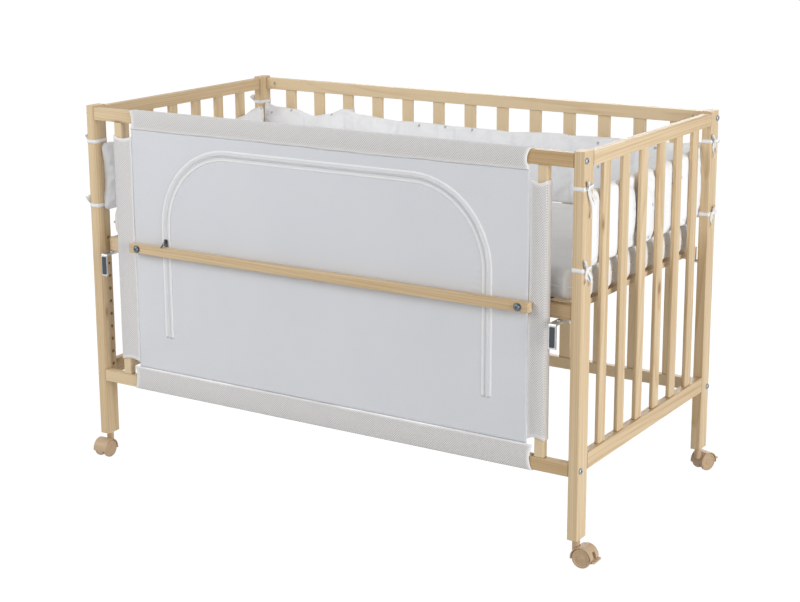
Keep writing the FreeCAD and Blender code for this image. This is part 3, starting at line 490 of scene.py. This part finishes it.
def arch(step):
    """Places and outward directions along the arch's centre line, from left to right."""
    shoulder = zip_top - zip_radius
    leg = max(1, round((shoulder - zip_low) / step))
    places = [(-zip_half, zip_low + (shoulder - zip_low) * i / leg, -1, 0) for i in range(leg)]
    bend = max(4, round(zip_radius * quarter / step))
    for i in range(bend + 1):
        turn = quarter * i / bend
        places.append((-zip_half + zip_radius - zip_radius * cos(turn),
                       shoulder + zip_radius * sin(turn), -cos(turn), sin(turn)))
    top = max(1, round((zip_half - zip_radius) / step))
    places += [(-(zip_half - zip_radius) * (1 - i / top), zip_top, 0, 1) for i in range(1, top + 1)]
    places += [(-x, z, -ox, oz) for x, z, ox, oz in reversed(places[:-1])]
    return [(Vector((zip_mid + x, 0, z)), Vector((ox, 0, oz))) for x, z, ox, oz in places]


def zip_tape_finish():
    """Woven white tape with a selvedge and a row of lock stitches near each edge, and a painted shadow of
    the coil beside it.
    """
    made, tree, shader = finish_of("Zip_tape", Roughness=0.75, Sheen_Weight=0.2)
    split = split_of(tree, add(tree, "UVMap", uv_map="strip").outputs[0])
    across = sums(tree, "ABSOLUTE", split["X"])
    ribs = sums(tree, "SINE", times(tree, split["Y"], 2 * pi / (1.1 * mm)))
    weave = linear(tree, ribs, 0.5, 0.5)
    seam = sums(tree, "COMPARE", across, 8.2 * mm, 0.7 * mm)
    beat = sums(tree, "GREATER_THAN", sums(tree, "FRACT", times(tree, split["Y"], 1 / (3.2 * mm))), 0.28)
    stitch = times(tree, seam, beat)
    color = mixed(tree, weave, (0.70, 0.715, 0.745, 1), (0.84, 0.85, 0.87, 1))
    # A painted shadow of the coil: a darker band on the tape just beside it, on the arch's inner side.
    painted_coil_shadow = sums(tree, "COMPARE", split["X"], -3.4 * mm, 1.0 * mm)
    color = mixed(tree, painted_coil_shadow, color, (0.60, 0.615, 0.635, 1))
    color = mixed(tree, sums(tree, "GREATER_THAN", across, 7.4 * mm), color, (0.96, 0.965, 0.97, 1))
    color = mixed(tree, seam, color, (0.84, 0.845, 0.855, 1))
    color = mixed(tree, stitch, color, (0.97, 0.97, 0.97, 1))
    height = sums(tree, "ADD", times(tree, weave, 0.35), stitch)
    feed(tree, shader, color, None, height, 0.3 * mm)
    return made


tape_mid = Vector((0, (tape_low[1] + tape_high[1]) / 2, 0))
mesh = bmesh.new()
strip_map = mesh.loops.layers.uv.new("strip")
mark = mesh.verts.layers.float_vector.new("mark")
steps = [s * mm for s in (-11.5, -10, -8.2, -6.4, -4.6, -2.6, 0, 2.6, 4.6, 6.4, 8.2, 10, 11.5)]
row = []
length = 0.0
for place, out in arch(6 * mm):
    if row:
        length += (place - last_place).length
        edges, fresh, _ = extruded(mesh, edges)
        row = [next(v for v in fresh if (v.co - old.co).length < 1e-7) for old in row]
    else:
        row = [mesh.verts.new(out * s) for s in steps]
        edges = [mesh.edges.new(pair) for pair in zip(row, row[1:])]
    for s, vert in zip(steps, row):
        vert.co = place + out * s + tape_mid
        vert.co.y += (0.12 * sin(length * 210) if abs(s) > 7 * mm else 0) * mm
        vert[mark] = (s, length, 0)
    last_place = place
shell(mesh, 0.6 * mm)
for face in mesh.faces:
    for loop in face.loops:
        loop[strip_map].uv = loop.vert[mark].xy
join_up("zip_tape_piece", mesh, zip_tape_finish(), ["zip_tape"])


def coil_finish():
    """Grey-white nylon."""
    made, tree, shader = finish_of("Zip_nylon", Roughness=0.35, Coat_Weight=0.2)
    soft = speckle(tree, object_place(tree), 900.0)
    feed(tree, shader, mixed(tree, soft, (0.74, 0.75, 0.77, 1), (0.86, 0.87, 0.885, 1)))
    return made


low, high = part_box("zip_coil")
mesh = bmesh.new()
for place, out in arch(2.2 * mm):
    rib = bmesh.ops.create_cube(mesh, size=1)["verts"]
    bmesh.ops.scale(mesh, vec=(4.8 * mm, high[1] - low[1], 1.35 * mm), verts=rib)
    for vert in rib:
        if vert.co.y < 0:
            vert.co.x *= 0.62
            vert.co.z *= 0.6
    bmesh.ops.rotate(mesh, matrix=Matrix.Rotation(atan2(-out.z, out.x), 3, "Y"), verts=rib)
    bmesh.ops.translate(mesh, vec=place + Vector((0, (low[1] + high[1]) / 2, 0)), verts=rib)
join_up("zip_coil_piece", mesh, coil_finish(), ["zip_coil"], False)

# ---------- metal parts
# Zip slider and pull of lacquered zinc; frame bolts, barrel nuts, cross bar bolts, hooks, screws,
# pins and caster stems of zinc-plated steel, with a faint grain from the plating.


def build_wear():
    """Mottling and fine scratches on a hard surface."""
    tree, given, result = effect("Handled surface", {"Place": "Vector", "Scale": "Float"},
                                 {"Mottle": "Float", "Scratch": "Float"})
    sized = add(tree, "VectorMath", {0: given["Place"], "Scale": given["Scale"]}, operation="SCALE")
    place = sized.outputs[0]
    tree.links.new(speckle(tree, place, 1, 4.0, 0.6), result["Mottle"])
    lines = speckle(tree, stretched(tree, place, (2, 30, 9), (0.5, 0.3, 0.7)), 1)
    tree.links.new(ramp(tree, lines, ((0.0, 0.0), (0.62, 0.0), (0.70, 1.0), (1.0, 1.0))), result["Scratch"])
    return tree


wear = build_wear()


def hard_finish(name, dark, light, size, scratched, rough, depth, worn_by="Mottle", gain=0.2, **constant):
    """A hard surface, mottled and finely scratched, and rougher by its mottle or scratches."""
    made, tree, shader = finish_of(name, **constant)
    worn = use(tree, wear, {"Place": object_place(tree), "Scale": size})
    color = mixed(tree, worn["Mottle"], dark, light)
    color = mixed(tree, times(tree, worn["Scratch"], scratched), color, light)
    feed(tree, shader, color, linear(tree, worn[worn_by], gain, rough), worn["Mottle"], depth)
    return made


def metal_finish(name, dark, light, rough):
    """Plated or lacquered metal."""
    return hard_finish(name, dark, light, 160.0, 0.25, rough, 0.02 * mm, Metallic=1.0)


dress(["frame_bolts", "bracket_screws"],
      metal_finish("Blue_zinc", (0.20, 0.23, 0.26, 1), (0.42, 0.46, 0.50, 1), 0.18))
dress(["cross_bar_bolts"], metal_finish("Dark_zinc", (0.07, 0.09, 0.10, 1), (0.24, 0.27, 0.30, 1), 0.14))
dress(["bed_brackets", "barrel_nuts", "base_pins", "caster_sockets"]
      + ["caster_%s_stem_and_axle" % place for place in corner_names],
      metal_finish("Zinc_plate", (0.50, 0.51, 0.53, 1), (0.78, 0.79, 0.80, 1), 0.20))
dress(["zip_slider", "zip_pull"],
      metal_finish("Slider_lacquer", (0.09, 0.095, 0.105, 1), (0.20, 0.205, 0.215, 1), 0.26))

# ---------- rubber pads of the hooks
# Black rubber, cut from sheet and glued to both faces of the hooks' lips, so that they don't mark
# the bed.

dress(["bracket_pads"], hard_finish("Black_rubber", (0.035, 0.042, 0.052, 1), (0.07, 0.08, 0.095, 1), 300.0,
                                    0.0, 0.45, 0.05 * mm, gain=0.25))

# ---------- mattress
# A foam slab in a sewn cover of white knitted fabric, with a corded seam round it. It lies on the
# slats of the base, and at the ends it swells between the slats and sags over the base's edge.


def mattress_finish():
    """White knitted cloth with fine creases."""
    made, tree, shader = finish_of("Mattress_cover", Roughness=0.9, Sheen_Weight=0.3)
    place = object_place(tree)
    split = split_of(tree, place)
    across = sums(tree, "ADD", split["X"], split["Y"])
    knit = use(tree, net, {"Across": across, "Up": split["Z"], "Pitch": 3 * mm})
    soft = speckle(tree, place, 14, 4.0)
    creases = speckle(tree, place, 60, 3.0)
    color = mixed(tree, soft, (0.85, 0.845, 0.835, 1), (0.91, 0.905, 0.90, 1))
    height = linear(tree, creases, 2.0, times(tree, knit["Height"], 0.3))
    feed(tree, shader, color, None, height, 0.25 * mm)
    return made


cloth_frames = 20


def puffed(piece, cap, pins="", shrink=0.0):
    """Runs the cloth of a closed piece under pressure from inside, caps its movement, and applies it."""
    start = [vert.co.copy() for vert in piece.data.vertices]
    cloth = piece.modifiers.new("Cloth", "CLOTH")
    settings = cloth.settings
    settings.use_pressure = True
    settings.uniform_pressure_force = 4
    settings.effector_weights.gravity = 0
    settings.quality = 5
    settings.tension_stiffness = 20
    settings.compression_stiffness = 20
    settings.bending_stiffness = 0.4
    settings.shrink_min = shrink
    settings.vertex_group_mass = pins
    cloth.collision_settings.use_collision = False
    cloth.point_cache.frame_start = 1
    cloth.point_cache.frame_end = cloth_frames
    for step in range(1, cloth_frames + 1):
        scene.frame_set(step)
    moved = piece.evaluated_get(bpy.context.evaluated_depsgraph_get())
    ends = [vert.co.copy() for vert in moved.data.vertices]
    piece.modifiers.remove(cloth)
    for vert, a, b in zip(piece.data.vertices, start, ends):
        away = b - a
        if away.length > cap:
            away = away.normalized() * cap
        vert.co = a + away
    scene.frame_set(1)


def remeshed(piece, voxel):
    """A voxel remesh, applied."""
    change = piece.modifiers.new("Remesh", "REMESH")
    change.mode = "VOXEL"
    change.voxel_size = voxel
    data = bpy.data.meshes.new_from_object(piece.evaluated_get(bpy.context.evaluated_depsgraph_get()))
    piece.modifiers.remove(change)
    data.materials.clear()
    data.materials.append(piece.data.materials[0])
    piece.data = data


def smoother(piece):
    """One live subdivision."""
    change = piece.modifiers.new("Subdivision", "SUBSURF")
    change.levels = 1
    change.render_levels = 1


slat_pitch = 87.9 * mm
mattress_room = 0.2 * mm
slats_start = 578 * mm
post_side = 288 * mm
quilt_pitch = 110 * mm
low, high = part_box("mattress")
middle = (Vector(low) + Vector(high)) / 2
size = Vector(high) - Vector(low)
mattress_cloth = mattress_finish()
mesh = bmesh.new()
bmesh.ops.create_cube(mesh, size=1)
bmesh.ops.scale(mesh, vec=(size.x - 6 * mm, size.y - 6 * mm, size.z - 10 * mm), verts=mesh.verts)
upright = [e for e in mesh.edges if abs(e.verts[0].co.z - e.verts[1].co.z) > 0.01]
bmesh.ops.bevel(mesh, geom=upright, offset=18 * mm, segments=5, affect="EDGES", profile=0.5, material=-1)
rim = [e for e in mesh.edges if abs(e.verts[0].co.z - e.verts[1].co.z) < 1e-5
       and sum(abs(f.normal.z) > 0.9 for f in e.link_faces) == 1]
bmesh.ops.bevel(mesh, geom=rim, offset=13 * mm, segments=4, affect="EDGES", profile=0.5, material=-1)
bmesh.ops.translate(mesh, vec=middle + Vector((0, 0, -1 * mm)), verts=mesh.verts)
mattress = join_up("mattress_piece", mesh, mattress_cloth, ["mattress"])
remeshed(mattress, 9 * mm)
puffed(mattress, 5 * mm)
for vert in mattress.data.vertices:
    vert.co.z = max(vert.co.z, low[2] + mattress_room)
    vert.co.x = min(max(vert.co.x, low[0] + mattress_room), high[0] - mattress_room)
    vert.co.y = min(max(vert.co.y, low[1] + mattress_room), high[1] - mattress_room)
    vert.co.y *= 1 + 0.03 * within((abs(vert.co.x) - 551 * mm) / (18 * mm))
    swell = abs(cos(pi * vert.co.y / slat_pitch)) ** 0.6
    rise = (vert.co.z - low[2]) / size.z
    at_slats = (within((post_side - abs(vert.co.y)) / (14 * mm))
                * within((abs(vert.co.x) - slats_start) / (14 * mm)))
    belly = min(1, 2.2 * (1 - rise)) * at_slats
    vert.co.x += (1 if vert.co.x > 0 else -1) * (1 + 15 * swell) * mm * belly
    vert.co.z -= 9 * mm * max(0, 1 - 1.8 * rise) * at_slats
    if (vert.co.z - middle.z) / (size.z / 2) > 0.7:
        a = (vert.co.x + vert.co.y) / quilt_pitch
        b = (vert.co.x - vert.co.y) / quilt_pitch
        line = min(abs(a - round(a)), abs(b - round(b))) * quilt_pitch
        inset = min(size.x / 2 - abs(vert.co.x - middle.x), size.y / 2 - abs(vert.co.y - middle.y))
        vert.co.z -= 2.6 * mm * exp(-(line / (7 * mm)) ** 2) * within(inset / (40 * mm) - 0.6)
    vert.co.z = min(vert.co.z, high[2] - 0.5 * mm)
for face in mattress.data.polygons:
    face.use_smooth = True
smoother(mattress)


def cord_ring(name, half_x, half_y, corner, z, radius):
    """A cord sewn into a seam that runs round a rounded oblong, from the middle of its right side."""
    mesh = bmesh.new()
    bmesh.ops.create_circle(mesh, segments=8, radius=radius)
    bmesh.ops.rotate(mesh, matrix=Matrix.Rotation(quarter, 3, "X"), verts=mesh.verts)
    bmesh.ops.translate(mesh, vec=(half_x, 0, z), verts=mesh.verts)
    edges = mesh.edges[:]
    x = half_x - corner
    y = half_y - corner
    here = Vector((half_x, 0, z))
    for turns, (cx, cy) in enumerate(((x, y), (-x, y), (-x, -y), (x, -y), (x, 0))):
        way = Matrix.Rotation(turns * quarter, 3, "Z") @ Vector((0, 1, 0))
        reach = (Vector((cx, cy, z)) - here).dot(way)
        count = 6 if turns == 4 else max(1, round(reach / 0.05))
        for i in range(count):
            edges, moved, _ = extruded(mesh, edges)
            bmesh.ops.translate(mesh, vec=way * reach / count, verts=moved)
        if turns == 4:
            break
        spun = bmesh.ops.spin(mesh, geom=edges, cent=(cx, cy, z), axis=(0, 0, 1), angle=quarter, steps=8,
                              use_duplicate=False)["geom_last"]
        edges = [item for item in spun if isinstance(item, bmesh.types.BMEdge)]
        here = Vector((cx, cy, z)) + Matrix.Rotation((turns + 1) * quarter, 3, "Z") @ Vector((corner, 0, 0))
    bmesh.ops.remove_doubles(mesh, verts=mesh.verts, dist=0.05 * mm)
    join_up(name, mesh, mattress_cloth, [])


cord_sunk = 1.4 * mm
cord_ring("mattress_cord", size.x / 2 - cord_sunk, size.y / 2 - cord_sunk, 19 * mm, low[2] + 33 * mm,
          1.5 * mm)

# ---------- bumper
# Three padded pieces of white cotton with small grey stars, sewn through in channels. Each is tied
# by ribbons at its ends, and the back one at its third slat too, where its top edge is drawn up.

stars_per_metre = 15.0


def star_cotton_finish():
    """White cotton with small grey stars strewn on it, on a UV map in metres."""
    made, tree, shader = finish_of("Star_cotton", Roughness=0.88, Sheen_Weight=0.25)
    flat = add(tree, "UVMap", uv_map="pad").outputs[0]
    place = object_place(tree)
    cells = add(tree, "TexVoronoi", {"Vector": flat, "Scale": stars_per_metre, "Randomness": 0.7},
                voronoi_dimensions="2D")
    from_middle = add(tree, "VectorMath", {0: stretched(tree, flat, stars_per_metre),
                                           1: stretched(tree, cells.outputs["Position"], stars_per_metre)},
                      operation="SUBTRACT").outputs[0]
    split = split_of(tree, from_middle)
    shade = add(tree, "SeparateColor", {0: cells.outputs["Color"]}).outputs
    angle = linear(tree, shade[0], 6.0, sums(tree, "ARCTAN2", split["Y"], split["X"]))
    tooth = sums(tree, "PINGPONG", times(tree, angle, 5 / pi), 1.0)
    reach = linear(tree, sums(tree, "POWER", tooth, 1.3), 0.045, 0.028)
    away = add(tree, "VectorMath", {0: from_middle}, operation="LENGTH").outputs["Value"]
    star = sums(tree, "LESS_THAN", away, reach)
    soft = speckle(tree, place, 18, 4.0)
    creases = speckle(tree, place, (75, 75, 45), 3.0)
    color = mixed(tree, soft, (0.89, 0.90, 0.925, 1), (0.93, 0.94, 0.955, 1))
    grey = mixed(tree, shade[1], (0.36, 0.37, 0.39, 1), (0.60, 0.61, 0.62, 1))
    color = mixed(tree, star, color, grey)
    spread = split_of(tree, flat)
    knit = use(tree, net, {"Across": spread["X"], "Up": spread["Y"], "Pitch": 1.1 * mm})
    height = linear(tree, creases, 1.6, times(tree, knit["Height"], 0.1))
    feed(tree, shader, color, None, height, 0.8 * mm)
    return made


star_cotton = star_cotton_finish()
tucked = 8 * mm
bar_half = 17 * mm


def along_edge(places, run):
    """The height of an edge given by (run, z) places, eased from each to the next."""
    for (a, low), (b, high) in zip(places, places[1:]):
        if run <= b * mm:
            t = within((run - a * mm) / ((b - a) * mm))
            return (low + (high - low) * t * t * (3 - 2 * t)) * mm
    return places[-1][1] * mm


def bumper(name, node, along, ties, slats, channel, top_edge, full, scallop, open_end):
    """A quilted pad between its ties, blown up by pressure between its sewn seams.

    The seams draw the edges in by the scallop. An open end keeps its thickness up to the hem. The
    pad swells out a little between the slats that it leans on."""
    low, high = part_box(node)
    across = Vector((0, 1, 0)) if along.x else Vector((1, 0, 0))
    axis = 0 if along.x else 1
    middle = (Vector(low) + Vector(high)) / 2
    start, end = ties[0], ties[-1]
    seams = [start]
    for a, b in zip(ties, ties[1:]):
        count = max(1, round((b - a) / channel))
        seams += [a + (b - a) * (i + 1) / count for i in range(count)]
    columns = round((end - start) / (5 * mm))
    mesh = bmesh.new()
    bmesh.ops.create_cube(mesh, size=1)
    bmesh.ops.scale(mesh, vec=(end - start, 1, 1), verts=mesh.verts)
    lengthways = [e for e in mesh.edges if abs(e.verts[0].co.x - e.verts[1].co.x) > 0.01]
    bmesh.ops.subdivide_edges(mesh, edges=lengthways, cuts=columns, use_grid_fill=True)
    upways = [e for e in mesh.edges if abs(e.verts[0].co.z - e.verts[1].co.z) > 0.5]
    bmesh.ops.subdivide_edges(mesh, edges=upways, cuts=23, use_grid_fill=True)
    flat = mesh.loops.layers.uv.new("pad")
    group = {}
    for vert in mesh.verts:
        run = (start + end) / 2 + vert.co.x
        v = vert.co.z + 0.5
        side = 1 if vert.co.y > 0 else -1
        bend = scallop * 1.4 * sin(pi * v) * sin(pi * (run - start) / (end - start))
        near_seam = min(abs(run - seam) for seam in seams)
        inner = [b - a for a, b in zip(seams, seams[1:]) if a - 1e-6 <= run <= b + 1e-6][0]
        bulge = sqrt(max(0, 1 - (1 - min(1, 2 * near_seam / inner)) ** 2.6))
        if open_end and run < seams[1] - inner / 2:
            bulge = sqrt(max(0, 1 - (1 - min(1, near_seam / (16 * mm))) ** 2)) * 0.85 + 0.15
        hem = sqrt(max(0, 1 - abs(2 * v - 1) ** 3.4))
        drawn = scallop * (1 - bulge) * (0 if run in (start, end) else 1)
        thick = 3 * mm + full * bulge * hem
        puff = 2.5 * mm * noise(Vector((run * 9, v * 2.0, side)))
        pull = 0.9 * mm * noise(Vector((run * 75, v * 3.0, 7 * side))) * exp(-near_seam / (22 * mm))
        bottom = low[2] - tucked + drawn * 0.8
        top = along_edge(top_edge, run) - drawn + puff
        if open_end and run < start + 20 * mm:
            hollow = 9 * mm * sin(pi * v) * (1 - (run - start) / (20 * mm))
            run += hollow + 1.6 * mm * noise(Vector((v * 9, side, 3)))
        vert.co = (along * (run + bend) + across * (middle.dot(across) + side * (thick / 2 + pull))
                   + Vector((0, 0, bottom + v * (top - bottom))))
        group[vert.index] = 1.0 if v < 0.01 or v > 0.99 else max(0.0, 1 - near_seam / (5 * mm))
    for face in mesh.faces:
        for loop in face.loops:
            loop[flat].uv = (loop.vert.co.dot(along) + (0.5 if middle.x > 0 else 0), loop.vert.co.z)
    piece = join_up(name, mesh, star_cotton, [node])
    pins = piece.vertex_groups.new(name="sewn")
    for index, weight in group.items():
        if weight > 0 and index < len(piece.data.vertices):
            pins.add([index], weight, "REPLACE")
    puffed(piece, 6 * mm, "sewn", -0.05)
    outward = 1 if middle.dot(across) > 0 else -1
    inner, outer = sorted((low[1 - axis] * outward, high[1 - axis] * outward))
    for vert in piece.data.vertices:
        a = vert.co.dot(across) * outward
        gap = min(abs(vert.co.dot(along) - slat) for slat in slats) - bar_half
        room = outer + min(6 * mm, max(-0.2 * mm, 0.35 * gap))
        vert.co += across * outward * (min(max(a, inner - 4 * mm), room) - a)
        vert.co.z = max(vert.co.z, low[2] - tucked)
    smoother(piece)


third_slat = -353.1 * mm
half_x = 601 * mm
half_y = 290.5 * mm
back_edge = ((-601, 770), (-560, 760), (-500, 758), (-445, 745), (-400, 754), (-353, 771), (-305, 758),
             (-200, 752), (120, 750), (270, 756), (300, 755), (540, 756), (601, 766))
left_edge = ((-317, 748), (-290, 747), (-240, 739), (60, 740), (200, 746), (290, 766))
right_edge = ((-305, 757), (-290, 757), (-240, 746), (0, 748), (220, 751), (290, 763))
end_slats = [(i - 2.5) * slat_pitch for i in range(6)]
back_slats = [(i - 6) * slat_pitch for i in range(13)]
bumper("bumper_back_pad", "bumper_back", Vector((1, 0, 0)), (-half_x, third_slat, half_x), back_slats,
       159 * mm, back_edge, 20 * mm, 3 * mm, False)
for side, edge, past in (("left", left_edge, 26), ("right", right_edge, 14)):
    bumper("bumper_%s_pad" % side, "bumper_" + side, Vector((0, 1, 0)), (-half_y - past * mm, half_y),
           end_slats, 116 * mm, edge, 28 * mm, 11 * mm, True)

# ---------- ribbon ties
# White cotton ribbon, 9 mm wide, sewn to the bumper and tied round the posts and the third back
# slat. On the posts it ends in a knot with a small bow and two tails.


def ribbon_finish():
    """Woven ribbon with ribs across it."""
    made, tree, shader = finish_of("White_ribbon", Roughness=0.7, Sheen_Weight=0.3)
    place = object_place(tree)
    split = split_of(tree, place)
    ribs = sums(tree, "SINE", times(tree, sums(tree, "ADD", split["X"], split["Y"]), 5200.0))
    soft = speckle(tree, place, 90.0)
    color = mixed(tree, soft, (0.86, 0.86, 0.855, 1), (0.92, 0.92, 0.915, 1))
    feed(tree, shader, color, None, linear(tree, ribs, 0.15, soft), 0.3 * mm)
    return made


def ribbon(mesh, points, widths, thick=0.8 * mm, closed=False):
    """Adds a strip of ribbon along points, with its width vector at each, to a mesh."""
    a = mesh.verts.new(points[0] - widths[0] / 2)
    b = mesh.verts.new(points[0] + widths[0] / 2)
    edges = [mesh.edges.new((a, b))]
    pair = (a, b)
    faces = []
    for point, width in zip(points[1:], widths[1:]):
        edges, fresh, strip = extruded(mesh, edges)
        faces += strip
        first = min(fresh, key=lambda v: (v.co - pair[0].co).length)
        second = next(v for v in fresh if v is not first)
        first.co = point - width / 2
        second.co = point + width / 2
        pair = (first, second)
    if closed:
        bmesh.ops.remove_doubles(mesh, verts=[a, b, *pair], dist=0.01 * mm)
    faces = [face for face in faces if face.is_valid]
    bmesh.ops.recalc_face_normals(mesh, faces=faces)
    bmesh.ops.solidify(mesh, geom=faces, thickness=thick)


def loop_round(mesh, low, high, z):
    """A ribbon round a post or slat whose section is given by two corners."""
    slack = 0.75 * mm
    x0, x1 = low[0] - slack, high[0] + slack
    y0, y1 = low[1] - slack, high[1] + slack
    ring = [Vector((x, y, z)) for x, y in (((x0 + x1) / 2, y0), (x1, y0), (x1, y1), (x0, y1), (x0, y0),
                                           ((x0 + x1) / 2, y0))]
    points = spaced(corner_round(ring, 1.8 * mm, 5), 6 * mm)
    for point in points[:-1]:
        point.z += noise(point * 30) * 1.2 * mm
    points[-1] = points[0].copy()
    ribbon(mesh, points, [Vector((0, 0, 8.5 * mm))] * len(points), 0.7 * mm, True)


post_face = 625 * mm


def bow(mesh, side, y, z, loops, tails):
    """A knot on a post's outer face, with loops and tails. Each is an angle from +Y and a length in mm."""
    face = side * (post_face + 1.6 * mm)
    knot = bmesh.ops.create_icosphere(mesh, subdivisions=3, radius=1)["verts"]
    bmesh.ops.scale(mesh, vec=(3.2 * mm, 4.4 * mm, 5.0 * mm), verts=knot)
    for vert in knot:
        vert.co.x += 0.35 * sin(vert.co.y / mm * 2.1 + z / mm) * mm * side
        vert.co.z += 0.3 * noise(vert.co / mm * 0.4) * mm
    bmesh.ops.translate(mesh, vec=(face + side * 1.4 * mm, y, z), verts=knot)
    middle = Vector((face + side * 1.8 * mm, y, z))
    for angle, long in loops:
        way = Vector((0, cos(radians(angle)), sin(radians(angle))))
        across = Vector((0, -way.z, way.y))
        points, widths = [], []
        for i in range(19):
            turn = 2 * pi * i / 18
            far = (1 - cos(turn)) / 2
            points.append(middle + way * long * mm * far + across * 1.5 * sin(turn) * mm
                          + Vector((side * (3.4 * sin(turn) * (0.4 + far) + 3.0 * far), 0, 0)) * mm)
            widths.append((across * 0.94 + Vector((side * 0.3 * far, 0, 0))) * 7.5 * mm)
        ribbon(mesh, points, widths)
    for angle, long in tails:
        points, widths = [], []
        for i in range(15):
            t = i / 14
            turn = radians(angle + (-90 - angle) * 0.75 * t)
            way = Vector((0, cos(turn), sin(turn)))
            last = points[-1] if points else middle
            lift = side * (0.9 * cos(4.5 * t + long)) * mm if points else 0
            points.append(last + way * long / 14 * mm + Vector((lift * 0.6, 0, 0)))
            points[-1].x = side * max(side * points[-1].x, side * face + 0.8 * mm)
            widths.append((Vector((0, -way.z, way.y)) * cos(2.6 * t)
                           + Vector((side, 0, 0)) * sin(2.6 * t) * 0.55) * 7.8 * mm)
        ribbon(mesh, points, widths)


low_ribbon = 604.5 * mm
high_ribbons = {"front_left": 752, "front_right": 762, "back_left": 770, "back_right": 767}
slat_ribbon = 762 * mm
post_middle = 312.5
knot_forward = 7
slat_low = (third_slat - 15 * mm, 318.5 * mm)
slat_high = (third_slat + 15 * mm, 328.5 * mm)
bows = {("front", 0): (((125, 26), (-62, 25)), ((-100, 26), (-50, 34))),
        ("front", 1): (((112, 17), (25, 17)), ((-70, 56), (-35, 40))),
        ("back", 0): (((66, 21), (8, 17)), ((-98, 27), (-60, 20))),
        ("back", 1): (((138, 24), (-8, 18)), ((-105, 34), (-55, 26)))}
mesh = bmesh.new()
for side, end in ((-1, "left"), (1, "right")):
    for face, depth in ((-1, "front"), (1, "back")):
        low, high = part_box("post_" + depth + "_" + end)
        for level, z in enumerate((low_ribbon, high_ribbons[depth + "_" + end] * mm)):
            loop_round(mesh, low, high, z)
            bow(mesh, side, (face * post_middle - knot_forward) * mm, z, *bows[(depth, level)])
for z in (low_ribbon, slat_ribbon):
    loop_round(mesh, slat_low, slat_high, z)
join_up("ribbon_ties", mesh, ribbon_finish(), ["bumper_ties"])

# ---------- casters
# Twin-wheel casters, moulded in tan nylon, a little mottled and scratched by use. The two on the
# right have a brake pedal of the same plastic.


def plastic_finish(name, dark, light, rough):
    """Moulded plastic."""
    return hard_finish(name, dark, light, 220.0, 0.3, rough, 0.04 * mm, "Scratch")


tan_body = plastic_finish("Tan_housing", (0.51, 0.365, 0.225, 1), (0.59, 0.43, 0.275, 1), 0.40)
tan_wheel = plastic_finish("Tan_wheel", (0.475, 0.33, 0.20, 1), (0.57, 0.41, 0.26, 1), 0.45)
dress(["caster_%s_housing" % place for place in corner_names]
      + ["caster_front_right_brake", "caster_back_right_brake"], tan_body)
dress(["caster_%s_wheel_%s" % (place, wheel) for place in corner_names for wheel in "ab"], tan_wheel)

# ---------- studio
# A pale floor, a large soft lamp on the right, weaker ones in front, above and behind, and the
# camera where the photograph was taken from.


def emptied(holder):
    """The node tree of a material or world, with nothing in it."""
    holder.use_nodes = True
    holder.node_tree.nodes.clear()
    return holder.node_tree


def seen_share(tree):
    """1 where something is seen, straight or in a mirror or glass, and 0 where it only lights."""
    rays = add(tree, "LightPath").outputs
    mirrored = sums(tree, "MAXIMUM", rays["Is Glossy Ray"], rays["Is Transmission Ray"])
    return sums(tree, "MAXIMUM", rays["Is Camera Ray"], mirrored)


floor_paint = bpy.data.materials.new("Studio_floor")
tree = emptied(floor_paint)
paper = mixed(tree, speckle(tree, object_place(tree), 3.0), (0.66, 0.66, 0.66, 1), (0.70, 0.70, 0.70, 1))
matt = add(tree, "BsdfDiffuse", {"Color": paper}).outputs[0]
glow = add(tree, "Emission", {"Color": (1, 1, 1, 1), "Strength": 1.08}).outputs[0]
blend = add(tree, "MixShader", {0: times(tree, seen_share(tree), 0.93), 1: matt, 2: glow}).outputs[0]
add(tree, "OutputMaterial", {0: blend})
mesh = bmesh.new()
bmesh.ops.create_grid(mesh, x_segments=2, y_segments=2, size=30)
data = bpy.data.meshes.new("floor")
mesh.to_mesh(data)
mesh.free()
data.materials.append(floor_paint)
floor = placed("floor", data)

world = bpy.data.worlds.new("Studio")
scene.world = world
tree = emptied(world)
strength = linear(tree, seen_share(tree), 0.62, 0.38)
back = add(tree, "Background", {"Color": (1, 1, 1, 1), "Strength": strength}).outputs[0]
add(tree, "OutputWorld", {0: back})


def lamp(name, place, aim, size, power):
    """A square soft lamp that points at a place."""
    data = bpy.data.lights.new(name, "AREA")
    data.shape = "SQUARE"
    data.size = size
    data.energy = power
    made = placed(name, data)
    made.location = place
    made.rotation_euler = (Vector(aim) - Vector(place)).to_track_quat("-Z", "Y").to_euler()


lamp("key", (4.9, -1.3, 1.4), (0, 0, 0.45), 2.6, 146)
lamp("fill", (-1.7, -2.5, 2.1), (-0.3, 0, 0.6), 1.6, 42)
lamp("above", (-0.4, 0.9, 3.2), (0, 0, 0.4), 2.6, 10)
lamp("behind", (-1.2, 3.2, 1.2), (0, 0, 0.5), 1.8, 38)

picture_width = 800
focal_pixels = 1658.0
shift_pixels = -51.0
sensor_width = 36
data = bpy.data.cameras.new("camera")
data.lens = focal_pixels * sensor_width / picture_width
data.shift_y = shift_pixels / picture_width
camera = placed("camera", data)
camera.location = (1.9746, -3.0998, 1.3464)
camera.rotation_euler = (Matrix.Rotation(radians(32.448), 4, "Z")
                         @ Matrix.Rotation(quarter - radians(12.856), 4, "X")
                         @ Matrix.Rotation(radians(-0.243), 4, "Z")).to_euler()
scene.camera = camera
scene.view_settings.view_transform = "Standard"
